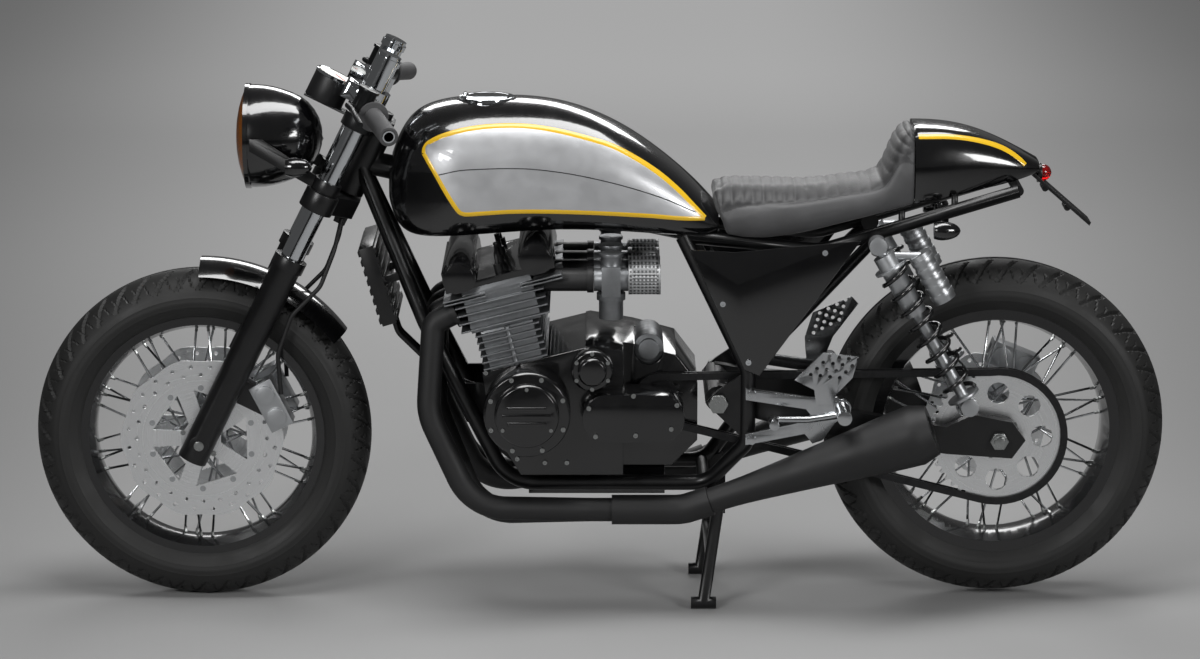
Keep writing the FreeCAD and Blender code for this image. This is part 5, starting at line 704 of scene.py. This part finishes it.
class RACER_OT_stage(bpy.types.Operator):
    """Makes the floor, the lamps and the camera"""
    bl_idname = "racer.stage"
    bl_label = "Stage"

    def execute(self, context):
        settings, scene = context.scene.racer, context.scene
        corners = [(x * FLOOR_HALF, y * FLOOR_HALF, 0)
                   for x, y in ((-1, -1), (1, -1), (1, 1), (-1, 1))]
        mesh = mesh_of("floor", corners, [(0, 1, 2, 3)], False)
        mesh.materials.append(floor_paper_with_painted_light(tuple(settings.floor_colour)))
        linked("floor", mesh)

        scene.world = bpy.data.worlds.new("studio")
        scene.world.use_nodes = True
        sky = scene.world.node_tree.nodes["Background"].inputs
        sky["Color"].default_value = srgb(WORLD_GREY)
        sky["Strength"].default_value = WORLD_STRENGTH
        for name, (place, aim, size, power) in LAMPS.items():
            light = bpy.data.lights.new(name, "AREA")
            light.shape = "RECTANGLE"
            light.size, light.size_y = size
            light.energy = power
            aimed(light, name, place, aim)

        camera = bpy.data.cameras.new("camera")
        camera.lens = settings.lens_length
        camera.sensor_width = 36
        camera.clip_end = 60
        away = Vector((0, math.cos(CAMERA_RISE), math.sin(CAMERA_RISE))) * CAMERA_REACH
        scene.camera = aimed(camera, "camera", CAMERA_TARGET + away, CAMERA_TARGET)
        scene.view_settings.view_transform = "Standard"
        return {"FINISHED"}


# Wheels

# Each wheel: its tyre's node, its centre and its body.
WHEELS = {"front": ("front_tyre", FRONT_AXLE, "front_wheel"),
          "rear": ("rear_tyre", REAR_AXLE, "rear_wheel")}
# The tyre's section: shares of its half width, and sizes in metres.
CROWN_SHARE, CROWN_ANGLE, CROWN_FALL, CROWN_WIDTH = 0.62, math.radians(58), 0.036, 0.93
BEAD_RADIUS, BEAD_DEPTH = 0.219, 0.006
WALL_BULGE, WALL_TUCK, BULGE_END = 0.07, 0.32, 0.35
BAND_HEIGHT, BAND_PLACES = 0.0007, (0.16, 0.5, 0.84)
TREAD_SHARE, STEPS_A_BLOCK, SECTION_POINTS = 0.6, 16, 97


def tyre_section(outer, half):
    """The tyre's outline, bead to bead: its width, its radius and its share of the half width."""
    rows = []
    for s in np.linspace(-1, 1, SECTION_POINTS):
        if abs(s) <= CROWN_SHARE:
            angle = min(1.0, abs(s) / CROWN_SHARE) * CROWN_ANGLE
            y = math.sin(angle) / math.sin(CROWN_ANGLE) * half * CROWN_WIDTH
            radius = outer - (1 - math.cos(angle)) / (1 - math.cos(CROWN_ANGLE)) * CROWN_FALL
        else:
            t = (abs(s) - CROWN_SHARE) / (1 - CROWN_SHARE)
            y = half * (CROWN_WIDTH + WALL_BULGE * math.sin(min(1, t / BULGE_END) * math.pi / 2)
                        - WALL_TUCK * (max(0.0, t - BULGE_END) / (1 - BULGE_END)) ** 1.5)
            radius = outer - CROWN_FALL - (outer - CROWN_FALL - BEAD_RADIUS) * t
            y += BAND_HEIGHT * sum(1 for mark in BAND_PLACES if abs(t - mark) < 0.02)
        rows.append((math.copysign(min(y, half), s), radius, abs(s)))
    return rows


def tread_cut(share, left, phase, depth):
    """How deep the grooves are round one line of the crown: a centre slot, slants and sipes."""
    place = share / TREAD_SHARE
    shift = 0.5 if left else 0.0
    slanted = (np.abs((phase + shift + place * 1.15) % 1.0 - 0.5) < 0.09) & (0.18 < place < 0.97)
    sipe = ((phase * 2 + shift - place * 0.9) % 1.0 < 0.12) & (0.55 < place < 0.9)
    cut = np.where(slanted, depth, np.where(sipe, depth * 0.6, 0))
    return np.maximum(cut, depth) if place < 0.06 else cut


def tyre_mesh(name, node, centre, pitch, depth):
    """A road tyre: rounded crown, curved sidewalls with raised bands, and grooves cut in."""
    low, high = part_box(node)
    rows = tyre_section((high.z - low.z) / 2, (high.y - low.y) / 2 - 0.0006)
    steps = pitch * STEPS_A_BLOCK
    turns = np.arange(steps) * 2 * math.pi / steps
    phase = np.arange(steps) / STEPS_A_BLOCK

    def ring(y, radius):
        return np.stack([centre.x + radius * np.cos(turns), np.full(steps, y),
                         centre.z + radius * np.sin(turns)], axis=1)

    rings = [ring(y, radius - (tread_cut(share, y > 0, phase, depth) if share < TREAD_SHARE else 0))
             for y, radius, share in rows]
    rings += [ring(y * 0.8, BEAD_RADIUS - BEAD_DEPTH) for y in (rows[-1][0], rows[0][0])]
    count = len(rings)
    faces = [(at * steps + step, at * steps + (step + 1) % steps,
              (at + 1) % count * steps + (step + 1) % steps, (at + 1) % count * steps + step)
             for at in range(count) for step in range(steps)]
    mesh = mesh_of(name, np.concatenate(rings).tolist(), faces, False)
    tidy(mesh, 1e-7)
    return mesh


class RACER_OT_wheels(bpy.types.Operator):
    """Makes the tyres, and dresses the rims, spokes, discs, sprocket and chain"""
    bl_idname = "racer.wheels"
    bl_label = "Wheels"

    def execute(self, context):
        settings = context.scene.racer
        for end, (node, centre, body) in WHEELS.items():
            name = end + "_tyre_tread"
            mesh = tyre_mesh(name, node, centre, settings.tread_pitch, settings.tread_depth)
            new_piece(name, mesh, body, "tyre_rubber", (node,), angle=24)
            skin(end + "_rim", "spring_coat", angle=35)
            skin(end + "_hub", "buffed_alloy", angle=35)
        skin("front_discs", "disc_front", angle=25)
        skin("rear_disc", "disc_rear", angle=25)
        skin("rear_sprocket", "disc_rear", angle=25)
        skin("chain", "dark_steel", angle=25)
        return {"FINISHED"}


# Tank, seat and tail

# The panel's edges and the lines, side view, X and Z in millimetres, front to rear.
PANEL_TOP = [(316, 846), (314, 856), (305, 866), (281, 878), (242, 889), (190, 895), (134, 895),
             (82, 888), (25, 874), (-23, 858), (-66, 835), (-106, 808), (-141, 778), (-167, 751),
             (-189, 727)]
PANEL_LOW = [(316, 846), (308, 833), (294, 810), (273, 774), (255, 747), (246, 741), (236, 740),
             (208, 742), (155, 745), (90, 745), (3, 742), (-84, 736), (-145, 729), (-189, 726)]
PANEL_LINE = [(289, 810), (251, 819), (207, 822), (159, 823), (112, 821), (47, 812), (-23, 796),
              (-84, 777), (-127, 760), (-172, 738)]
COWL_LINE = [(-574, 871), (-630, 870), (-673, 864), (-712, 853), (-738, 841), (-758, 827),
             (-769, 816)]
# The pad's crest, X and Z in millimetres, front to rear.
PAD_CREST = [(-200, 778), (-290, 777), (-373, 776), (-440, 783), (-485, 791), (-503, 797),
             (-514, 806), (-522, 822), (-529, 843), (-536, 861), (-545, 876), (-555, 885),
             (-566, 887)]
# The pad's ends, the seam's share of its half width, and the seam's and grooves' size, in metres.
PAD_ENDS = (-0.5665, -0.2035)
SEAM_SHARE, SEAM_DEPTH, SEAM_WIDTH, GROOVE_DEPTH = 0.84, 0.0016, 0.003, 0.0026
# Behind this X, in metres, the pad climbs its hump.
HUMP_X = -0.49


def ease(low, high, value):
    """A smooth step from 0 at low to 1 at high."""
    share = min(1.0, max(0.0, (value - low) / (high - low)))
    return share * share * (3 - 2 * share)


def upward(normal, x):
    """How far a face looks up, or ahead where the pad climbs its hump."""
    return max(normal.z, normal.x * (1 if x < HUMP_X else 0))


def swollen(piece, pressure=4.0, cap=0.005, frames=20):
    """Lets a pad swell as stuffed leather does; no point moves further than the cap."""
    before = [v.co.copy() for v in piece.data.vertices]
    low = min(co.z for co in before)
    # Held: the foot, which rises to the rear, and the pad's rear end.
    held = piece.vertex_groups.new(name="held")
    held.add([i for i, co in enumerate(before) if co.z < low + 0.03 + (-0.2 - co.x) * 0.2
              or co.x < -0.563], 1.0, "REPLACE")
    cloth = modify(piece, "CLOTH")
    cloth.settings.use_pressure = True
    cloth.settings.uniform_pressure_force = pressure
    cloth.settings.effector_weights.gravity = 0
    cloth.settings.vertex_group_mass = "held"
    cloth.settings.mass = 0.3
    cloth.collision_settings.use_collision = False
    cloth.point_cache.frame_end = frames
    scene = bpy.context.scene
    for frame_number in range(1, frames + 1):
        scene.frame_set(frame_number)
    graph = bpy.context.evaluated_depsgraph_get()
    after = [v.co.copy() for v in piece.evaluated_get(graph).data.vertices]
    piece.modifiers.remove(cloth)
    piece.vertex_groups.remove(held)
    scene.frame_set(1)
    for vert, old, new in zip(piece.data.vertices, before, after):
        move = new - old
        if move.length > cap:
            move *= cap / move.length
        vert.co = old + move


def seat_pad(ribs):
    """The seat: a stuffed leather pad with sewn ribs over its top and up its rear hump."""
    piece = linked("seat_leather", merged("seat_pad", 0.1))
    solid = solid_of("seat_pad")
    crest = np.array(sorted(eased(PAD_CREST, 10)))
    low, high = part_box("seat_pad")
    modify(piece, "REMESH", mode="VOXEL", voxel_size=0.005)
    bake(piece)
    for vert in piece.data.vertices:
        x = min(PAD_ENDS[1], max(PAD_ENDS[0], vert.co.x))
        top = solid.ray_cast(Vector((x, 0, 1.2)), Vector((0, 0, -1)))[0].z
        base = solid.ray_cast(Vector((x, 0.06, 0.5)), Vector((0, 0, 1)))[0].z
        if vert.co.z > base:
            goal = np.interp(x, crest[:, 0], crest[:, 1]) - 0.002
            vert.co.z = base + (vert.co.z - base) * (goal - base) / (top - base)
        vert.co.y *= 0.975
    swollen(piece)
    modify(piece, "SMOOTH", factor=0.5, iterations=6)
    modify(piece, "SUBSURF", levels=1, render_levels=1)
    bake(piece)
    along = crest[::-1]
    lengths = np.concatenate([[0], np.cumsum(np.hypot(*np.diff(along, axis=0).T))])
    half = high.y
    piece.data.update()
    normals = [v.normal.copy() for v in piece.data.vertices]
    for vert, normal in zip(piece.data.vertices, normals):
        x, y, z = vert.co
        up = upward(normal, x)
        inside = 1 - ease(half * SEAM_SHARE - 0.007, half * SEAM_SHARE, abs(y))
        inside *= ease(0.25, 0.55, up)
        near = int(np.argmin((along[:, 0] - x) ** 2 + (along[:, 1] - z) ** 2))
        place = lengths[near]
        if 0 < near < len(along) - 1:
            ahead = Vector(along[near + 1]) - Vector(along[near - 1])
            place += (Vector((x, z)) - Vector(along[near])).dot(ahead.normalized())
        wave = abs(math.sin(math.pi * place / lengths[-1] * ribs))
        groove = -GROOVE_DEPTH * (1 - wave ** 0.6)
        off = (abs(y) - half * SEAM_SHARE) / SEAM_WIDTH
        seam = -SEAM_DEPTH * math.exp(-off ** 2) * ease(0.0, 0.3, up)
        vert.co += normal * (groove * inside + seam)
    mesh = piece.data
    mesh.materials.clear()
    for finish in ("leather_top", "leather_side"):
        mesh.materials.append(FINISH[finish])
    for face in mesh.polygons:
        up = upward(face.normal, face.center.x)
        face.material_index = 0 if abs(face.center.y) < half * SEAM_SHARE and up > 0.2 else 1
    finish_piece(piece, "root", None, ("seat_pad",), 75)


def painted(name, parts, finish):
    """Paint that lies on a panel, as a piece of its own."""
    new_piece(name, mesh_of(name, *parts, False), "root", finish, slot="gloss_black", angle=80)


class RACER_OT_bodywork(bpy.types.Operator):
    """Makes the tank with its panel, the seat pad and the tail"""
    bl_idname = "racer.bodywork"
    bl_label = "Bodywork"

    def execute(self, context):
        settings = context.scene.racer
        dress(("fuel_tank", "gloss_lacquer", 0, 40), ("filler_ring", "chrome", 0.6),
              ("filler_lid", "chrome", 1.0), ("tail_cowl", "gloss_lacquer", 0, 45))
        tank, cowl = solid_of("fuel_tank"), solid_of("tail_cowl")
        upper, lower, across, tail = (eased(line) for line in (PANEL_TOP, PANEL_LOW, PANEL_LINE,
                                                               COWL_LINE))
        half = settings.stripe_width / 2
        for side, word in zip(SIDES, ("left", "right")):
            painted("tank_panel_" + word, painted_field(tank, upper, lower, 0.0003, side),
                    "silver_lacquer")
            painted("tank_border_" + word, joined([ribbon(tank, line, half, 0.0007, side)
                                                   for line in (upper, lower)]),
                    "stripe_lacquer")
            painted("tank_line_" + word, ribbon(tank, across, 0.0011, 0.0006, side),
                    "line_lacquer")
            painted("cowl_line_" + word, ribbon(cowl, tail, half * 0.9, 0.0007, side),
                    "stripe_lacquer")
        seat_pad(settings.seat_ribs)
        dress(("tail_lamp", "red"), ("side_covers", "gloss_lacquer", 1.0),
              ("plate_bracket", "powder_coat", 0.5), ("front_fender", "gloss_lacquer"))
        return {"FINISHED"}


# Fork, lamp and bars


def reach_of(node, way):
    """How far a node's mesh reaches along a direction from the front axle, in metres."""
    return max((v.co - FRONT_AXLE).dot(way) for v in NODES[node].data.vertices)


def gauge_face():
    """The gauge's bezel, dial card, marks and needle, on top of its can."""
    top = reach_of("gauge", FORK_UP)
    ahead = reach_of("gauge", FORK_AHEAD)
    radius = (ahead + reach_of("gauge", -FORK_AHEAD)) / 2 / MM
    centre = FRONT_AXLE + FORK_UP * top + FORK_AHEAD * (ahead - radius * MM)
    bezel = [(-5, radius), (-4.4, radius + 0.6), (0.4, radius + 0.6), (1.2, radius - 1),
             (0.6, radius - 3.2), (0.1, radius - 3.2), (0, radius - 1), (-5, radius - 0.2)]
    turned("gauge_bezel", bezel, centre, FORK_UP, "steering", "chrome", 72, True,
           slot="satin_black")
    turned("gauge_dial", [(0.05, 0), (0.05, radius - 3), (-0.4, radius - 3), (-0.4, 0)], centre,
           FORK_UP, "steering", "dial_card", 64, slot="satin_black")
    u, v, w = basis(FORK_UP)
    parts = []
    for index in range(41):
        turn = math.radians(225 - 6.75 * index)
        out = u * math.sin(turn) + v * math.cos(turn)
        side = out.cross(w)
        long = 4.2 if index % 5 == 0 else 2.2
        corners = [centre + w * 0.12 * MM + out * (radius - 4.5 - back) * MM + side * wide * MM
                   for back, wide in ((0, -0.3), (0, 0.3), (long, 0.3), (long, -0.3))]
        parts.append((corners, [[0, 1, 2, 3]]))
    new_piece("gauge_marks", mesh_of("gauge_marks", *joined(parts), False), "steering",
              "dial_print", slot="satin_black", angle=0)
    lift = centre + w * 0.5 * MM
    needle = [lift, lift + (u * -0.7 + v * -0.72) * (radius - 8) * MM]
    new_piece("gauge_needle", mesh_of("gauge_needle", *swept(needle, 0.0006, 8)), "steering",
              "red", slot="satin_black")


class RACER_OT_front_end(bpy.types.Operator):
    """Dresses the fork, clamps, headlamp, gauge, bars and brakes"""
    bl_idname = "racer.front_end"
    bl_label = "Front end"

    def execute(self, context):
        dress(("fork_sliders", "powder_coat", 0.8), ("fork_tubes", "chrome"),
              ("lower_clamp", "powder_coat", 1.2), ("upper_clamp", "black_anodised", 1.2),
              ("front_axle", "zinc_steel", 0.6), ("front_calipers", "satin_alloy", 1.0),
              ("headlamp_shell", "gloss_lacquer"), ("headlamp_lens", "amber"),
              ("headlamp_bracket", "powder_coat", 0.6), ("front_indicators", "gloss_lacquer"),
              ("gauge", "black_plastic", 0.8), ("clip_ons", "chrome"),
              ("grips", "soft_rubber", 0.8), ("bar_controls", "black_anodised", 0.8),
              ("brake_hoses", "black_rubber"))
        gauge_face()
        return {"FINISHED"}


# Engine and exhaust


class RACER_OT_engine(bpy.types.Operator):
    """Dresses the cases, cylinders, carburettors, exhaust and cooler"""
    bl_idname = "racer.engine"
    bl_label = "Engine"

    def execute(self, context):
        dress(("crankcase", "engine_paint", 3.0), ("cylinder_block", "cast_alloy", 0.5),
              ("cylinder_head", "cast_alloy", 0.5), ("cam_cover", "engine_paint", 2.0),
              ("left_covers", "engine_paint", 2.0), ("right_covers", "engine_paint", 2.0),
              ("carburettors", "cast_alloy", 0.8), ("pod_filters", "gauze", 0.8),
              ("intake_boots", "black_rubber", 0.8), ("headers", "heat_paint"),
              ("mufflers", "heat_paint"), ("oil_cooler", "powder_coat", 0.8),
              ("plug_leads", "black_rubber"), ("starter_motor", "cast_alloy", 0.8))
        return {"FINISHED"}


# Frame and running gear


class RACER_OT_chassis(bpy.types.Operator):
    """Dresses the frame, swingarm, shocks, foot controls and stand"""
    bl_idname = "racer.chassis"
    bl_label = "Chassis"

    def execute(self, context):
        dress(("frame_backbone", "powder_coat"), ("frame_cradle", "powder_coat"),
              ("seat_rails", "powder_coat"), ("swingarm", "powder_coat"),
              ("swingarm_axles", "zinc_steel", 0.6), ("shock_bodies", "satin_alloy", 0.6),
              ("shock_springs", "spring_coat", 0, 70), ("rear_indicators", "gloss_lacquer"),
              ("rearsets", "buffed_alloy", 0.8), ("rear_caliper", "satin_alloy", 1.0),
              ("centre_stand", "powder_coat"))
        return {"FINISHED"}


# Hardware, by node trees


def ring_of(centre, radius, count, start=0):
    """Places round a circle in side view, in millimetres."""
    return [(centre[0] + radius * math.cos(math.radians(start + 360 * i / count)),
             centre[1] + radius * math.sin(math.radians(start + 360 * i / count)))
            for i in range(count)]


def side_view(place):
    """A place's X and Z in millimetres."""
    return place.x / MM, place.z / MM


LEFT, RIGHT = (1,), (-1,)
FRONT, REAR, SHAFT = side_view(FRONT_AXLE), side_view(REAR_AXLE), side_view(CRANK)
# Covers' centres and screw places in side view, X and Z in millimetres.
GEAR_COVER, CLUTCH = (14, 462), (-36, 366)
COVER_SCREWS = [(-138, 404), (-128, 360), (-64, 348), (8, 346), (-60, 421), (20, 398)]
CASE_SCREWS = [(150, 292), (100, 285), (60, 285), (206, 452)]
SIDE_COVER_SCREWS = [(-221, 578), (-404, 672), (-268, 470)]
# Heads by name: the node that carries them, their places, their sides, and their radius, height,
# finish and corners where these aren't a plain screw's.
HEADS = {
    "generator_screws": ("left_covers", ring_of(SHAFT, 70, 8, 22), LEFT, 4.2, 3.4),
    "cap_screws": ("left_covers", ring_of(SHAFT, 50, 3, 90), LEFT, 3.4, 2.6),
    "cover_screws": ("left_covers", COVER_SCREWS, LEFT, 4.2, 3.4),
    "gear_screws": ("left_covers", ring_of(GEAR_COVER, 32.5, 6, 30), LEFT, 3.6, 3.0),
    "clutch_screws": ("right_covers", ring_of(CLUTCH, 81, 9, 10), RIGHT, 4.2, 3.4),
    "pickup_screws": ("right_covers", ring_of(SHAFT, 49, 4, 45), RIGHT, 3.6, 3.0),
    "case_screws": ("crankcase", CASE_SCREWS, SIDES, 4.0, 3.4),
    "side_cover_screws": ("side_covers", SIDE_COVER_SCREWS, SIDES, 5.2, 2.4, "chrome"),
    "front_disc_bolts": ("front_discs", ring_of(FRONT, 36, 5, 18), SIDES, 4.6, 3.6),
    "front_bobbins": ("front_discs", ring_of(FRONT, 95, 10, 18), SIDES, 5.4, 1.6, "satin_alloy"),
    "rear_disc_bolts": ("rear_disc", ring_of(REAR, 34, 5, 18), RIGHT, 4.6, 3.6),
    "sprocket_bolts": ("rear_sprocket", ring_of(REAR, 38, 5), LEFT, 5.0, 4.0, "zinc_steel", 6),
}
# How deep a head's foot sits in its cover, in millimetres.
HEAD_SUNK = 0.4
# The wheels' lacing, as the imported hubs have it, in millimetres.
SPOKES, SPOKE_END, SPOKE_LEAD, SPOKE_INSET, NIPPLE_BACK = 40, 198.7, math.radians(42), 4.4, 9
# Each hub's flange: its radius and the spokes' start to either side.
FLANGES = {"front": (42, 31), "rear": (52, 39)}
NIPPLE = [(0, 2.6), (0.4, 3.1), (7, 3.1), (8, 3.7), (11.5, 3.7), (11.5, 0), (0, 0)]


def heads(name, node, spots, sides, *sizes):
    """Screw heads on a node, each where a line along Y meets it."""
    solid = solid_of(node)
    places = []
    for side in sides:
        out = Vector((0, side, 0))
        for x, z in spots:
            place, _ = seat_on(solid, x * MM, z * MM, side)
            places.append((place - out * HEAD_SUNK * MM, out))
    return screws(name, places, *sizes[:2], BODY_OF[node], *sizes[2:])


def spoke_nipples(name, axle, flange_radius, start_half, body):
    """A six-sided nipple at the rim end of each spoke, in line with it."""
    places = []
    foot = flange_radius - SPOKE_INSET
    for index in range(SPOKES):
        side, lead = (1 if index % 2 else -1), (1 if index // 2 % 2 else -1)
        angle = 2 * math.pi * index / SPOKES
        start_y = side * start_half
        start = Vector((foot * math.sin(angle), start_y, foot * math.cos(angle))) * MM
        tip = angle + SPOKE_LEAD * lead
        end = Vector((SPOKE_END * math.sin(tip), start_y / 4, SPOKE_END * math.cos(tip))) * MM
        run = (end - start).normalized()
        places.append((axle + end - run * NIPPLE_BACK * MM, run, Vector((0, 1, 0))))
    nipple = mesh_of(name + "_one", *lathe(NIPPLE, (0, 0, 0), (0, 0, 1), 6))
    return copies(name, places, nipple, body, "zinc_steel", 30)


class RACER_OT_hardware(bpy.types.Operator):
    """Makes the screws, bolts, spoke nipples and disc bobbins"""
    bl_idname = "racer.hardware"
    bl_label = "Hardware"

    def execute(self, context):
        for name, row in HEADS.items():
            heads(name, *row)
        for end, (_, axle, body) in WHEELS.items():
            spoke_nipples(end + "_nipples", axle, *FLANGES[end], body)
        return {"FINISHED"}


class RACER_PT_panel(bpy.types.Panel):
    """Lists the machine's settings and the steps that make it"""
    bl_label = "Cafe racer"
    bl_idname = "RACER_PT_panel"
    bl_space_type = "VIEW_3D"
    bl_region_type = "UI"
    bl_category = "Cafe racer"

    def draw(self, context):
        settings = context.scene.racer
        for key in MachineSettings.__annotations__:
            self.layout.prop(settings, key)
        for step in STEPS:
            self.layout.operator(step.bl_idname)


STEPS = (RACER_OT_stage, RACER_OT_wheels, RACER_OT_bodywork, RACER_OT_front_end,
         RACER_OT_engine, RACER_OT_chassis, RACER_OT_hardware)
CLASSES = (MachineSettings,) + STEPS + (RACER_PT_panel,)


def register():
    for item in CLASSES:
        bpy.utils.register_class(item)
    bpy.types.Scene.racer = PointerProperty(type=MachineSettings)


def unregister():
    del bpy.types.Scene.racer
    for item in reversed(CLASSES):
        bpy.utils.unregister_class(item)


def main():
    register()
    for step in STEPS:
        group, name = step.bl_idname.split(".")
        getattr(getattr(bpy.ops, group), name)()


if __name__ == "__main__":
    main()
